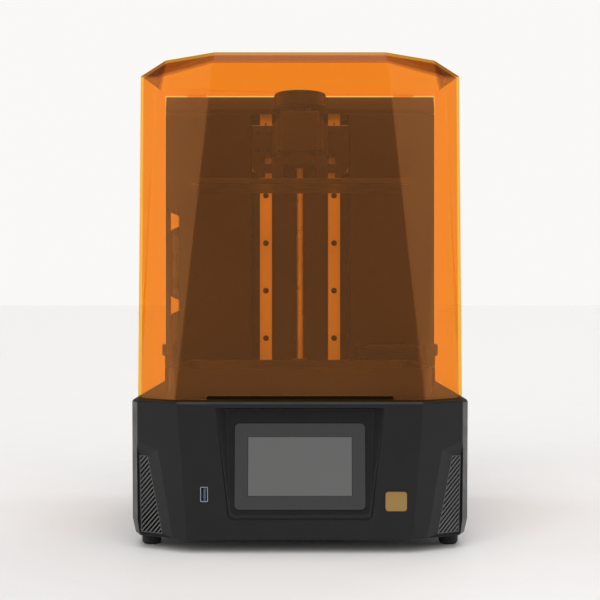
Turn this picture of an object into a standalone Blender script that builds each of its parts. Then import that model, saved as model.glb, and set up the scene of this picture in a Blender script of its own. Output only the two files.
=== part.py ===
"""A desktop resin printer with a flip-up tinted hood, built as separate parts.

Metres, +Z up, front towards -Y, origin at the bottom centre of the machine's box.
Depths are measured back from the front face of the base, and turned into Y by at_depth.
"""

import math

import bmesh
import bpy
from mathutils import Matrix, Vector

# Whole machine
WIDTH = 0.353
DEPTH = 0.409
CHIN = 0.003                # how far the screen surround stands in front of the base
BACK = DEPTH - CHIN         # depth of the rear face
GAP = 0.0003                # clearance between pieces that touch
WALL = 0.003

# Base
BASE_FOOT = 0.014
BASE_SKIRT = 0.029          # top of the bottom chamfer
BASE_SHOULDER = 0.1523      # foot of the top chamfer
BASE_TOP = 0.1545
BASE_HALF = WIDTH / 2
CREASE_FOOT = 0.1155        # half width of the flat front, at its foot
CREASE_LEAN = 0.0105        # how much wider it is at the top
CORNER_X = 0.169            # where the corner facet ends
CORNER_DEPTH = 0.030
CORNER_LEAN = 0.0059
EDGE_RUN = 0.019            # depth of the narrow facet before the straight side
REAR_CUT = 0.012            # chamfer of the rear corners
BASE_WALL = 0.005
SKIRT_INSET = 0.0032        # how far the foot of the base is drawn in at the sides
FOOT_RADIUS = 0.0102
FOOT_X = 0.1577
FOOT_DEPTHS = (0.060, 0.365)

# Screen, in a surround that leans back
PANEL_FOOT = 0.0344
PANEL_TOP = 0.1485
PANEL_HALF_FOOT = 0.074
PANEL_HALF_TOP = 0.086
FLOOR_HALF_FOOT = 0.0725
FLOOR_HALF_TOP = 0.0757
FLOOR_SET_BACK = 0.009      # depth of the surround's floor at its top
CHIN_LIP = 0.0041           # height of the chin's sloping underside
BEZEL_SIZE = (0.1335, 0.0875)
DISPLAY_SIZE = (0.1065, 0.0603)
BEZEL_Z = 0.08875

# Vents
VENT_SINK = 0.0032          # how deep the grilles lie
GRILLE = 0.0015             # thickness of a grille
GRILLE_RIM = 0.0007
SLAT_PITCH = 0.00515        # measured straight up
SLOT_SHARE = 0.56
SMALLEST_SLOT = 4e-6        # square metres; smaller corners stay solid
BORDER = 0.017              # width of the sloping border round a corner vent
SIDE_BORDER = 0.014

# Deck, vat and platform
PLATE_DEPTH = 0.154         # depth of the build plate's centre
BUILD_PLATE = (0.238, 0.130)
LCD_SIZE = (0.234, 0.130)
PLATE_FOOT = 0.385
PLATE_TOP = 0.3910
BRACKET_TOP = 0.4253
ARM_Z = 0.4490
KNOB_DEPTH = 0.160
VAT_HALF = (0.140, 0.104)
VAT_RIM = 0.186
VAT_KNOB_X = 0.147
LIGHT_X = -0.1545
FILTER_X = (0.071, 0.146)
FILTER_DEPTHS = (0.2610, 0.2955)

# Hood
HOOD_FOOT = 0.156
HOOD_TOP = 0.5215
HOOD_WALL = 0.003
HOOD_REAR = 0.299
FLANGE_IN = 0.0083
GRIP_HALF = 0.096
GRIP_HEIGHT = 0.0042
HINGE_DEPTH = 0.318
HINGE_Z = 0.507
LUG_X = 0.130
LUG_HALF = 0.012
KNUCKLE = 0.005
PIN_RADIUS = 0.0020
HINGE_NOTCH = 0.0185

# Rear housing and lift
HOUSE_HALF = 0.1675
HOUSE_FRONT = 0.2995
HOUSE_REAR = 0.402
CAP_FOOT = 0.4905
CAP_TOP = 0.5127
CHANNEL_HALF = 0.0618
RAIL_X = 0.043
RAIL_SIDE = 0.015
RAIL_FRONT = 0.317
RAIL_Z = (0.1676, 0.493)
RAIL_HOLE_Z = 0.2104
RAIL_HOLE_PITCH = 0.060
RAIL_HOLES = 5
SCREW_DEPTH = 0.320
SCREW_RADIUS = 0.004
CARRIAGE_DEPTHS = (0.2915, 0.3035)
CARRIAGE_TOP = 0.4750
BLOCK_HALF = 0.017
BLOCK_Z = (0.4195, 0.4770)

# Rear wall of the base
FAN_X = 0.095
FAN_Z = 0.060
FAN_DEPTH = BACK - BASE_WALL - GAP      # rear face of the fan, against the wall
INLET_Z = 0.059
INLET_X = -0.1000
ROCKER_X = -0.1235
ROCKER_DEPTH = BACK - 0.0040

# Colours: base colour, roughness, metallic, alpha
BLACK = (0.014, 0.014, 0.014, 1)
DARK = (0.030, 0.030, 0.031, 1)
ORANGE = (0.95, 0.30, 0.03, 0.45)
STEEL = (0.62, 0.62, 0.63, 1)
ALUMINIUM = (0.48, 0.49, 0.50, 1)
FINISHES = {
    "black_plastic": (BLACK, 0.42, 0.0),
    "black_metal": (DARK, 0.45, 0.6),
    "tinted_cover": (ORANGE, 0.08, 0.0),
    "steel": (STEEL, 0.28, 1.0),
    "aluminium": (ALUMINIUM, 0.38, 1.0),
    "rubber": ((0.02, 0.02, 0.02, 1), 0.85, 0.0),
    "screen_border": ((0.05, 0.05, 0.05, 1), 0.2, 0.0),
    "screen_glass": ((0.13, 0.13, 0.13, 1), 0.15, 0.0),
    "gold_plate": ((0.50, 0.33, 0.12, 1), 0.35, 0.9),
    "circuit_board": ((0.02, 0.10, 0.05, 1), 0.5, 0.0),
    "brass": ((0.75, 0.55, 0.25, 1), 0.3, 1.0),
    "clear_film": ((0.8, 0.85, 0.85, 0.3), 0.1, 0.0),
    "white_diffuser": ((0.75, 0.75, 0.72, 1), 0.4, 0.0),
    "blue_plastic": ((0.03, 0.22, 0.60, 1), 0.4, 0.0),
}


def at_depth(depth):
    return depth + CHIN - DEPTH / 2


# ---------------------------------------------------------------- helpers

def clear_scene():
    for thing in list(bpy.data.objects):
        bpy.data.objects.remove(thing, do_unlink=True)


def make_collection(name):
    collection = bpy.data.collections.new(name)
    bpy.context.scene.collection.children.link(collection)
    return collection


def make_material(name):
    colour, roughness, metallic = FINISHES[name]
    material = bpy.data.materials.new(name)
    material.use_nodes = True
    shader = material.node_tree.nodes["Principled BSDF"]
    shader.inputs["Base Color"].default_value = colour[:3] + (1,)
    shader.inputs["Roughness"].default_value = roughness
    shader.inputs["Metallic"].default_value = metallic
    shader.inputs["Alpha"].default_value = colour[3]
    material.diffuse_color = colour
    return material


def add_object(name, mesh, finish=None, place=None):
    """Link a mesh as a part, or as a cutter when it has no finish."""
    thing = bpy.data.objects.new(name, mesh)
    if place is not None:
        thing.matrix_world = place
    if finish is None:
        cutters.objects.link(thing)
        thing.hide_render = True
        thing.display_type = "WIRE"
    else:
        parts.objects.link(thing)
        mesh.materials.append(make_material(finish))
    return thing


def finish_mesh(builder, name, smooth_above=None):
    mesh = bpy.data.meshes.new(name)
    bmesh.ops.recalc_face_normals(builder, faces=builder.faces)
    builder.to_mesh(mesh)
    builder.free()
    if smooth_above:
        mesh.shade_smooth()
        mesh.set_sharp_from_angle(angle=math.radians(smooth_above))
    return mesh


def box(name, low, high, finish=None, bevel=0.0):
    """A box between two corners given as (x, depth, z)."""
    low = Vector((low[0], at_depth(low[1]), low[2]))
    high = Vector((high[0], at_depth(high[1]), high[2]))
    builder = bmesh.new()
    bmesh.ops.create_cube(builder, size=1, matrix=Matrix.Diagonal((high - low).to_4d()))
    thing = add_object(name, finish_mesh(builder, name), finish, Matrix.Translation((low + high) / 2))
    if bevel:
        round_edges(thing, bevel)
    return thing


def round_edges(thing, width, segments=1, angle=35):
    modifier = thing.modifiers.new("rounded edges", "BEVEL")
    modifier.width = width
    modifier.segments = segments
    modifier.limit_method = "ANGLE"
    modifier.angle_limit = math.radians(angle)


def cylinder(name, radius, length, place, finish=None, sides=24):
    builder = bmesh.new()
    bmesh.ops.create_cone(
        builder, cap_ends=True, segments=sides, radius1=radius, radius2=radius, depth=length
    )
    return add_object(name, finish_mesh(builder, name, 40), finish, place)


def turned(name, profile, x, depth, finish, steps=24, closed=False):
    """A turned piece on a vertical axis; profile is (radius, z) down its outer side."""
    builder = bmesh.new()
    points = [builder.verts.new((radius, 0, z)) for radius, z in profile]
    pairs = list(zip(points, points[1:]))
    if closed:
        pairs.append((points[-1], points[0]))
    for pair in pairs:
        builder.edges.new(pair)
    mesh = bpy.data.meshes.new(name)
    builder.to_mesh(mesh)
    builder.free()
    thing = add_object(name, mesh, finish, Matrix.Translation((x, at_depth(depth), 0)))
    screw = thing.modifiers.new("turned", "SCREW")
    screw.axis = "Z"
    screw.steps = steps
    screw.render_steps = steps
    screw.use_merge_vertices = True
    screw.merge_threshold = 0.00001
    screw.use_smooth_shade = True
    return thing


def plate(name, outlines, thickness, place, finish=None):
    """A flat plate: the first outline is its edge, the others are holes through it."""
    curve = bpy.data.curves.new(name, "CURVE")
    curve.dimensions = "2D"
    curve.fill_mode = "BOTH"
    curve.extrude = thickness / 2
    for outline in outlines:
        spline = curve.splines.new("POLY")
        spline.points.add(len(outline) - 1)
        for point, (a, b) in zip(spline.points, outline):
            point.co = (a, b, 0, 1)
        spline.use_cyclic_u = True
    drawn = bpy.data.objects.new(name + "_drawn", curve)
    cutters.objects.link(drawn)
    bpy.context.view_layer.update()
    evaluated = drawn.evaluated_get(bpy.context.evaluated_depsgraph_get())
    mesh = bpy.data.meshes.new_from_object(evaluated)
    bpy.data.objects.remove(drawn)
    bpy.data.curves.remove(curve)
    builder = bmesh.new()
    builder.from_mesh(mesh)
    bmesh.ops.remove_doubles(builder, verts=builder.verts, dist=0.00001)
    bpy.data.meshes.remove(mesh)
    return add_object(name, finish_mesh(builder, name, 40), finish, place)


def lying(z):
    """Outlines are (x, y), and the plate's middle is at height z."""
    return Matrix.Translation((0, 0, z))


def standing(depth):
    """Outlines are (x, z), and the plate's middle is at this depth."""
    return Matrix.Translation((0, at_depth(depth), 0)) @ Matrix.Rotation(math.pi / 2, 4, "X")


def sideways(x):
    """Outlines are (y, z), and the plate's middle is at this x."""
    turn = Matrix(((0, 0, 1, 0), (1, 0, 0, 0), (0, 1, 0, 0), (0, 0, 0, 1)))
    return Matrix.Translation((x, 0, 0)) @ turn


def loft(name, rings, finish=None, capped=True, smooth_above=None):
    """A skin through rings that have the same number of points."""
    builder = bmesh.new()
    loops = [[builder.verts.new(point) for point in ring] for ring in rings]
    count = len(loops[0])
    for lower, upper in zip(loops, loops[1:]):
        for i in range(count):
            j = (i + 1) % count
            builder.faces.new((lower[i], lower[j], upper[j], upper[i]))
    if capped:
        builder.faces.new(loops[0])
        builder.faces.new(loops[-1])
    return add_object(name, finish_mesh(builder, name, smooth_above), finish)


def combine(thing, other, operation):
    modifier = thing.modifiers.new(operation.lower(), "BOOLEAN")
    modifier.operation = operation
    modifier.object = other
    modifier.solver = "EXACT"


def cut(thing, other):
    combine(thing, other, "DIFFERENCE")


def join(thing, other):
    combine(thing, other, "UNION")


def merged(name, meshes):
    """One cutter from several separate closed meshes, given with their places."""
    builder = bmesh.new()
    for mesh, place in meshes:
        mesh.transform(place)
        builder.from_mesh(mesh)
        bpy.data.meshes.remove(mesh)
    mesh = bpy.data.meshes.new(name)
    builder.to_mesh(mesh)
    builder.free()
    return add_object(name, mesh)


def bore_mesh():
    """A bolt hole's counterbore, as deep as the bolt's head."""
    builder = bmesh.new()
    bmesh.ops.create_cone(
        builder, cap_ends=True, segments=14, radius1=0.00375, radius2=0.00375, depth=0.017
    )
    return finish_mesh(builder, "bore")


def block_mesh(size):
    builder = bmesh.new()
    bmesh.ops.create_cube(builder, size=1, matrix=Matrix.Diagonal(Vector(size).to_4d()))
    return finish_mesh(builder, "block")


def circle(a, b, radius, sides=16):
    turns = [2 * math.pi * i / sides for i in range(sides)]
    return [(a + radius * math.cos(t), b + radius * math.sin(t)) for t in turns]


def rectangle(low_a, low_b, high_a, high_b):
    return [(low_a, low_b), (high_a, low_b), (high_a, high_b), (low_a, high_b)]


def rounded(low_a, low_b, high_a, high_b, radius, steps=4):
    """A rectangle with round corners, anticlockwise."""
    corners = (
        (high_a - radius, low_b + radius, -90),
        (high_a - radius, high_b - radius, 0),
        (low_a + radius, high_b - radius, 90),
        (low_a + radius, low_b + radius, 180),
    )
    outline = []
    for a, b, start in corners:
        for step in range(steps + 1):
            turn = math.radians(start + 90 * step / steps)
            outline.append((a + radius * math.cos(turn), b + radius * math.sin(turn)))
    return outline


def inset(outline, distance):
    """A convex anticlockwise outline moved in by a distance."""
    moved = []
    count = len(outline)
    for i in range(count):
        before, here, after = (Vector(outline[(i + k) % count]) for k in (-1, 0, 1))
        first = (here - before).normalized()
        second = (after - here).normalized()
        bisector = Vector((-first.y - second.y, first.x + second.x)).normalized()
        reach = distance / bisector.dot(Vector((-first.y, first.x)))
        moved.append(tuple(here + bisector * reach))
    return moved


def clip(outline, normal, limit):
    """The part of a convex outline where normal . point is at most limit."""
    kept = []
    for here, after in zip(outline, outline[1:] + outline[:1]):
        a = here[0] * normal[0] + here[1] * normal[1] - limit
        b = after[0] * normal[0] + after[1] * normal[1] - limit
        if a <= 0:
            kept.append(here)
        if a * b < 0:
            share = a / (a - b)
            kept.append(tuple(p + (q - p) * share for p, q in zip(here, after)))
    return kept


def mirrored(half):
    """A full outline from its right half, which runs from the front to the back."""
    return half + [(-a, b) for a, b in reversed(half)]


def ride(pivot, *things):
    """Parent pieces to an empty on their joint's axis without moving them."""
    bpy.context.view_layer.update()
    for thing in things:
        thing.parent = pivot
        thing.matrix_parent_inverse = pivot.matrix_world.inverted()


def pivot(name, x, depth, z):
    empty = bpy.data.objects.new(name, None)
    empty.location = (x, at_depth(depth), z)
    parts.objects.link(empty)
    return empty


# ---------------------------------------------------------------- base

def lean(z):
    """0 at the foot of the base and 1 at its top."""
    return (z - BASE_FOOT) / (BASE_TOP - BASE_FOOT)


def base_outline(z, side_inset=0.0):
    """The plan of the base at a height; the corner facets stay flat from foot to top."""
    crease = CREASE_FOOT + CREASE_LEAN * lean(z)
    corner_depth = CORNER_DEPTH - CORNER_LEAN * lean(z)
    slope = CORNER_DEPTH / (CORNER_X - CREASE_FOOT)
    half = [
        (crease, at_depth(0)),
        (CORNER_X - side_inset, at_depth(corner_depth - slope * side_inset)),
        (BASE_HALF - side_inset, at_depth(corner_depth + EDGE_RUN)),
        (BASE_HALF - side_inset, at_depth(BACK - REAR_CUT)),
        (BASE_HALF - REAR_CUT - side_inset, at_depth(BACK)),
    ]
    return mirrored(half)


def ring(outline, z):
    return [(x, y, z) for x, y in outline]


def panel_outline(shrink=0.0):
    """Front view of the opening for the screen surround, with round lower corners."""
    corner = 0.006
    foot = PANEL_HALF_FOOT - shrink
    top = PANEL_HALF_TOP - shrink
    half = [
        (foot - corner, PANEL_FOOT + shrink),
        (foot - corner * 0.3, PANEL_FOOT + shrink + corner * 0.3),
        (foot, PANEL_FOOT + shrink + corner),
        (top, PANEL_TOP - shrink),
    ]
    return mirrored(half)


def facet_frame(side):
    """Local axes on a corner facet: a from its outer edge to the front, b up, c across it.

    The third axis points outwards on the left and inwards on the right.
    """
    edge = Vector((side * CORNER_X, at_depth(CORNER_DEPTH), BASE_FOOT))
    crease = Vector((side * CREASE_FOOT, at_depth(0), BASE_FOOT))
    crease_top = Vector((side * (CREASE_FOOT + CREASE_LEAN), at_depth(0), BASE_TOP))
    along = (crease - edge).normalized()
    rise = crease_top - crease
    up = (rise - along * rise.dot(along)).normalized()
    frame = Matrix((along, up, along.cross(up))).transposed().to_4x4()
    return Matrix.Translation(edge) @ frame


def corner_vent_outline(grow=0.0, edge=0.0015):
    """Vent on a corner facet, in the facet's axes; edge is the rim left at its outer side."""
    foot = 0.0028 - grow * 0.15
    return [
        (edge, foot),
        (0.029 + grow, foot),
        (0.0125 + grow, 0.083 + grow * 0.5),
        (edge, 0.083 + grow),
    ]


def side_vent_outline(grow=0.0):
    """Vent on the flat side, as (y, z)."""
    return [
        (at_depth(0.060) - grow * 0.4, 0.020 - grow * 0.2),
        (at_depth(0.236) + grow, 0.020 - grow * 0.2),
        (at_depth(0.206) + grow, 0.097 + grow),
        (at_depth(0.060) - grow * 0.4, 0.097 + grow),
    ]


def slots(outline, rise):
    """Slanted slots inside a convex outline; rise is +1 or -1 for the way they climb."""
    window = inset(outline, GRILLE_RIM)
    normal = Vector((-rise, 1)).normalized()
    pitch = SLAT_PITCH * normal.y
    reach = [normal.dot(Vector(point)) for point in window]
    found = []
    for i in range(int((max(reach) - min(reach)) / pitch) + 1):
        low = min(reach) + (i + 0.3) * pitch
        strip = clip(window, normal, low + pitch * SLOT_SHARE)
        strip = clip(strip, -normal, -low)
        if len(strip) >= 3 and area(strip) > SMALLEST_SLOT:
            found.append(strip)
    return found


def area(outline):
    pairs = zip(outline, outline[1:] + outline[:1])
    return abs(sum(p[0] * q[1] - q[0] * p[1] for p, q in pairs)) / 2


def make_base_shell():
    levels = (
        (BASE_FOOT, base_outline(BASE_FOOT, SKIRT_INSET)),
        (BASE_SKIRT, base_outline(BASE_SKIRT)),
        (BASE_SHOULDER, base_outline(BASE_SHOULDER)),
        (BASE_TOP, inset(base_outline(BASE_TOP), 0.0018)),
    )
    shell = loft("base_shell", [ring(outline, z) for z, outline in levels], "black_plastic")
    foot, skirt, shoulder = (inset(outline, BASE_WALL) for z, outline in levels[:3])
    inner = [
        ring(foot, BASE_FOOT - 0.005),
        ring(skirt, BASE_SKIRT),
        ring(shoulder, BASE_SHOULDER),
        ring(shoulder, BASE_TOP + 0.005),
    ]
    cut(shell, loft("base_hollow", inner))
    cut(shell, plate("screen_opening", [panel_outline()], 0.030, standing(0)))
    for side in (-1, 1):
        cut_vents(shell, side)
    cut(shell, box("usb_opening", (-0.1018, -0.01, 0.0527), (-0.0937, 0.02, 0.0683)))
    low = (-0.1365, BACK - 0.02, 0.0437)
    high = (-0.0835, BACK + 0.01, 0.0743)
    cut(shell, box("inlet_opening", low, high))
    cut(shell, cylinder("fan_opening", 0.0278, 0.03, on_rear_wall(FAN_X, FAN_Z, BACK)))


def sunk(outlines, place):
    """A cutter that narrows from above the surface to its window, then goes through the wall."""
    wide, narrow, window = outlines
    heights = ((wide, 0.0004), (narrow, -VENT_SINK), (window, -VENT_SINK), (window, -0.010))
    return [[place(a, b, height) for a, b in outline] for outline, height in heights]


def cut_vents(shell, side):
    """A sloped border and a window, on the corner facet and on the side."""
    frame = facet_frame(side)

    def on_facet(a, b, height):
        return frame @ Vector((a, b, -side * height))

    def on_side(y, z, height):
        return (side * (BASE_HALF + height), y, z)

    outlines = (
        corner_vent_outline(BORDER, 0.0),
        corner_vent_outline(0.0008, 0.0007),
        corner_vent_outline(0.0003, 0.0012),
    )
    cut(shell, loft(f"corner_vent_{side}", sunk(outlines, on_facet)))
    outlines = (
        side_vent_outline(SIDE_BORDER),
        side_vent_outline(0.0008),
        side_vent_outline(0.0003),
    )
    cut(shell, loft(f"side_vent_{side}", sunk(outlines, on_side)))


def make_grilles():
    for side, word in ((-1, "left"), (1, "right")):
        sink = VENT_SINK + GAP + GRILLE / 2
        outline = corner_vent_outline()
        place = facet_frame(side) @ Matrix.Translation((0, 0, side * sink))
        openings = slots(outline, -side)
        plate(f"corner_grille_{word}", [outline] + openings, GRILLE, place, "black_plastic")
        outline = side_vent_outline()
        place = sideways(side * (BASE_HALF - sink))
        openings = slots(outline, side)
        plate(f"side_grille_{word}", [outline] + openings, GRILLE, place, "black_plastic")


def make_bottom():
    edge = inset(base_outline(BASE_FOOT, SKIRT_INSET), BASE_WALL + GAP)
    holes = []
    for row in range(5):
        for x in (-0.09, 0.09):
            y = at_depth(0.16 + 0.022 * row)
            holes.append(rounded(x - 0.03, y - 0.003, x + 0.03, y + 0.003, 0.0029, 2))
    plate("bottom_plate", [edge] + holes, 0.0015, lying(BASE_FOOT + 0.0010), "black_metal")
    places = ((-FOOT_X, "left"), (FOOT_X, "right"))
    for depth, row in zip(FOOT_DEPTHS, ("front", "rear")):
        for x, word in places:
            profile = (
                (0, BASE_FOOT - GAP),
                (FOOT_RADIUS, BASE_FOOT - GAP),
                (FOOT_RADIUS, 0.003),
                (FOOT_RADIUS - 0.002, 0),
                (0, 0),
            )
            turned(f"foot_{row}_{word}", profile, x, depth, "rubber", 20)


def tray_floor(outer, fall):
    """The surround's floor: inside its rim, leaning back from the chin."""
    floor = []
    height = PANEL_TOP - PANEL_FOOT
    for x, z in outer:
        share = (z - PANEL_FOOT) / height
        half = PANEL_HALF_FOOT + (PANEL_HALF_TOP - PANEL_HALF_FOOT) * share
        floor_half = FLOOR_HALF_FOOT + (FLOOR_HALF_TOP - FLOOR_HALF_FOOT) * share
        floor_z = PANEL_FOOT + CHIN_LIP + (height - CHIN_LIP - 0.0015) * share
        floor_depth = fall * (floor_z - PANEL_FOOT - CHIN_LIP) - CHIN
        floor.append((x * floor_half / half, at_depth(floor_depth), floor_z))
    return floor


def make_screen():
    """The surround leans back from its chin, and the bezel and glass lie in its floor."""
    fall = (FLOOR_SET_BACK + CHIN) / (PANEL_TOP - PANEL_FOOT - CHIN_LIP)
    outer = panel_outline(GAP)
    rings = [
        [(x, at_depth(0.0155), z) for x, z in outer],
        [(x, at_depth(0), z) for x, z in outer],
        tray_floor(outer, fall),
    ]
    surround = loft("screen_surround", rings, "black_plastic")
    middle = fall * (BEZEL_Z - PANEL_FOOT - CHIN_LIP) - CHIN
    lean_back = Matrix.Rotation(math.pi / 2 - math.atan(fall), 4, "X")
    face = Matrix.Translation((0, at_depth(middle), BEZEL_Z)) @ lean_back
    half_w, half_h = BEZEL_SIZE[0] / 2, BEZEL_SIZE[1] / 2
    seat = rounded(-half_w - GAP, -half_h - GAP, half_w + GAP, half_h + GAP, 0.0045)
    cut(surround, plate("screen_seat", [seat], 0.008, face))
    edge = rounded(-half_w, -half_h, half_w, half_h, 0.0045)
    show_w, show_h = DISPLAY_SIZE[0] / 2, DISPLAY_SIZE[1] / 2
    window = rectangle(-show_w, -show_h, show_w, show_h)
    lift = Matrix.Translation((0, 0, -0.0010))
    plate("screen_bezel", [edge, window], 0.0042, face @ lift, "screen_border")
    sink = Matrix.Translation((0, 0, -0.0013))
    plate("touch_screen", [inset(window, GAP)], 0.0038, face @ sink, "screen_glass")


def make_usb_port():
    port = box("usb_port", (-0.1015, 0.0, 0.053), (-0.0940, 0.014, 0.068), "blue_plastic")
    cut(port, box("usb_mouth", (-0.1007, -0.01, 0.0538), (-0.0983, 0.011, 0.0672)))
    cut(port, box("usb_mouth_wide", (-0.0962, -0.01, 0.0538), (-0.0948, 0.011, 0.0672)))
    cut(port, box("usb_mouth_ends", (-0.1007, -0.01, 0.0538), (-0.0948, 0.0015, 0.0672)))


def make_badge():
    edge = rounded(0.0870, 0.0435, 0.1090, 0.0635, 0.003, 3)
    plate("badge_plate", [edge], 0.0010, standing(-0.0008), "gold_plate")


# ---------------------------------------------------------------- inside the base

def make_deck():
    edge = inset(base_outline(BASE_SHOULDER), BASE_WALL + GAP)
    half_w, half_d = LCD_SIZE[0] / 2 + GAP, LCD_SIZE[1] / 2 + GAP
    middle = at_depth(PLATE_DEPTH)
    holes = [
        rectangle(-half_w, middle - half_d, half_w, middle + half_d),
        circle(0, at_depth(SCREW_DEPTH), 0.0115, 16),
        circle(VAT_KNOB_X, middle, 0.0034, 10),
        circle(-VAT_KNOB_X, middle, 0.0034, 10),
    ]
    plate("deck_plate", [edge] + holes, 0.003, lying(BASE_TOP - 0.0015), "black_metal")
    low = (-LCD_SIZE[0] / 2, PLATE_DEPTH - LCD_SIZE[1] / 2, BASE_TOP - 0.002)
    high = (LCD_SIZE[0] / 2, PLATE_DEPTH + LCD_SIZE[1] / 2, BASE_TOP + 0.0004)
    box("lcd_panel", low, high, "screen_glass")


def make_light_engine():
    middle = at_depth(PLATE_DEPTH)
    top = rounded(-0.118, middle - 0.066, 0.118, middle + 0.066, 0.004, 2)
    foot = rounded(-0.056, middle - 0.040, 0.056, middle + 0.040, 0.004, 2)
    rings = [ring(foot, 0.0670), ring(top, 0.1508)]
    walls = loft("light_housing", rings, "black_metal", capped=False)
    thick = walls.modifiers.new("wall", "SOLIDIFY")
    thick.thickness = 0.0015
    thick.offset = 1
    low = (-0.104, PLATE_DEPTH - 0.0575, 0.1425)
    high = (0.104, PLATE_DEPTH + 0.0575, 0.1455)
    box("lens_plate", low, high, "clear_film")
    low = (-0.0555, PLATE_DEPTH - 0.0395, 0.0625)
    high = (0.0555, PLATE_DEPTH + 0.0395, 0.0651)
    board = box("led_board", low, high, "circuit_board")
    lamps = []
    for row in range(3):
        for column in range(6):
            spot = (-0.040 + 0.016 * column, middle - 0.022 + 0.022 * row, 0.0660)
            lamps.append((block_mesh((0.005, 0.005, 0.003)), Matrix.Translation(spot)))
    join(board, merged("led_chips", lamps))
    half, foot, root, back = 0.055, 0.032, 0.057, 0.0622
    fins = 9
    pitch = 2 * half / fins
    comb = [(-half, back), (-half, foot)]
    for i in range(fins):
        left = -half + pitch * i
        comb += [(left + pitch * 0.35, foot), (left + pitch * 0.35, root)]
        if i < fins - 1:
            comb += [(left + pitch, root), (left + pitch, foot)]
    comb += [(half, root), (half, back)]
    plate("heat_sink", [comb], 0.078, standing(PLATE_DEPTH), "aluminium")


def make_electronics():
    board = box("mainboard", (-0.155, 0.250, 0.026), (-0.060, 0.350, 0.0276), "circuit_board")
    chips = (
        ((0.018, 0.018, 0.004), (-0.11, 0.300, 0.0290)),
        ((0.030, 0.010, 0.012), (-0.13, 0.262, 0.0330)),
        ((0.012, 0.040, 0.010), (-0.073, 0.300, 0.0320)),
        ((0.026, 0.012, 0.014), (-0.12, 0.338, 0.0340)),
    )
    pieces = [
        (block_mesh(size), Matrix.Translation((x, at_depth(depth), z)))
        for size, (x, depth, z) in chips
    ]
    join(board, merged("board_parts", pieces))
    holes = []
    for row in range(4):
        for column in range(7):
            y = at_depth(0.265 + 0.014 * row)
            holes.append(circle(0.075 + 0.011 * column, y, 0.003, 6))
    edge = rectangle(0.062, at_depth(0.245), 0.155, at_depth(0.345))
    lid = plate("power_supply", [edge] + holes, 0.0015, lying(0.0575), "aluminium")
    join(lid, box("supply_body", (0.062, 0.245, 0.020), (0.155, 0.345, 0.0570)))


def on_rear_wall(x, z, depth):
    return Matrix.Translation((x, at_depth(depth), z)) @ Matrix.Rotation(math.pi / 2, 4, "X")


def make_fan():
    """Frame with a spider that carries the rotor, just inside the rear wall."""
    edge = rounded(FAN_X - 0.030, FAN_Z - 0.030, FAN_X + 0.030, FAN_Z + 0.030, 0.004, 2)
    outlines = [edge, circle(FAN_X, FAN_Z, 0.028, 32)]
    frame = plate("fan_frame", outlines, 0.015, standing(FAN_DEPTH - 0.0075), "black_plastic")
    spider = [circle(FAN_X, FAN_Z, 0.0287, 32)]
    for k in range(4):
        start = math.radians(90 * k + 50)
        stop = math.radians(90 * k + 130)
        for low, high in ((0.0125, 0.0195), (0.0215, 0.0276)):
            spider.append(sector(FAN_X, FAN_Z, low, high, start, stop))
    join(frame, plate("fan_spider", spider, 0.002, standing(FAN_DEPTH - 0.0012)))
    middle = on_rear_wall(FAN_X, FAN_Z, FAN_DEPTH - 0.0082)
    rotor = cylinder("fan_rotor", 0.012, 0.010, middle, "black_plastic", 20)
    blades = []
    for k in range(7):
        turn = Matrix.Rotation(2 * math.pi * k / 7, 4, "Z")
        twist = Matrix.Rotation(math.radians(38), 4, "X")
        place = middle @ turn @ Matrix.Translation((0.0188, 0, 0)) @ twist
        blades.append((block_mesh((0.0155, 0.0120, 0.0012)), place))
    join(rotor, merged("fan_blades", blades))
    return rotor


def sector(a, b, low, high, start, stop, steps=5):
    turns = [start + (stop - start) * i / steps for i in range(steps + 1)]
    outer = [(a + high * math.cos(t), b + high * math.sin(t)) for t in turns]
    inner = [(a + low * math.cos(t), b + low * math.sin(t)) for t in reversed(turns)]
    return outer + inner


def make_power_inlet():
    """Mains inlet and a rocker switch in one moulded frame on the rear wall."""
    low = (-0.1362, BACK - 0.024, 0.0440)
    high = (-0.0838, BACK - 0.0002, 0.0740)
    body = box("power_inlet", low, high, "black_plastic")
    low = (INLET_X - 0.0125, BACK - 0.017, INLET_Z - 0.0082)
    high = (INLET_X + 0.0125, BACK + 0.01, INLET_Z + 0.0082)
    cut(body, box("inlet_socket", low, high))
    low = (ROCKER_X - 0.0065, BACK - 0.020, INLET_Z - 0.0100)
    high = (ROCKER_X + 0.0065, BACK + 0.01, INLET_Z + 0.0100)
    cut(body, box("rocker_well", low, high))
    pins = []
    for x, z in ((-0.007, -0.002), (0, 0.002), (0.007, -0.002)):
        spot = (INLET_X + x, at_depth(BACK - 0.0115), INLET_Z + z)
        pins.append((block_mesh((0.002, 0.0135, 0.004)), Matrix.Translation(spot)))
    join(body, merged("inlet_pins", pins))
    profile = [
        (-0.0020, -0.0088), (0.0012, -0.0090), (0.0000, 0.0), (0.0012, 0.0090),
        (-0.0020, 0.0088), (-0.0085, 0.0030), (-0.0085, -0.0030),
    ]
    centre = Matrix.Translation((ROCKER_X, at_depth(ROCKER_DEPTH), INLET_Z))
    tilt = centre @ Matrix.Rotation(math.radians(8), 4, "X")
    return plate("power_rocker", [profile], 0.0122, tilt @ sideways(0), "black_plastic")


# ---------------------------------------------------------------- vat

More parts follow.
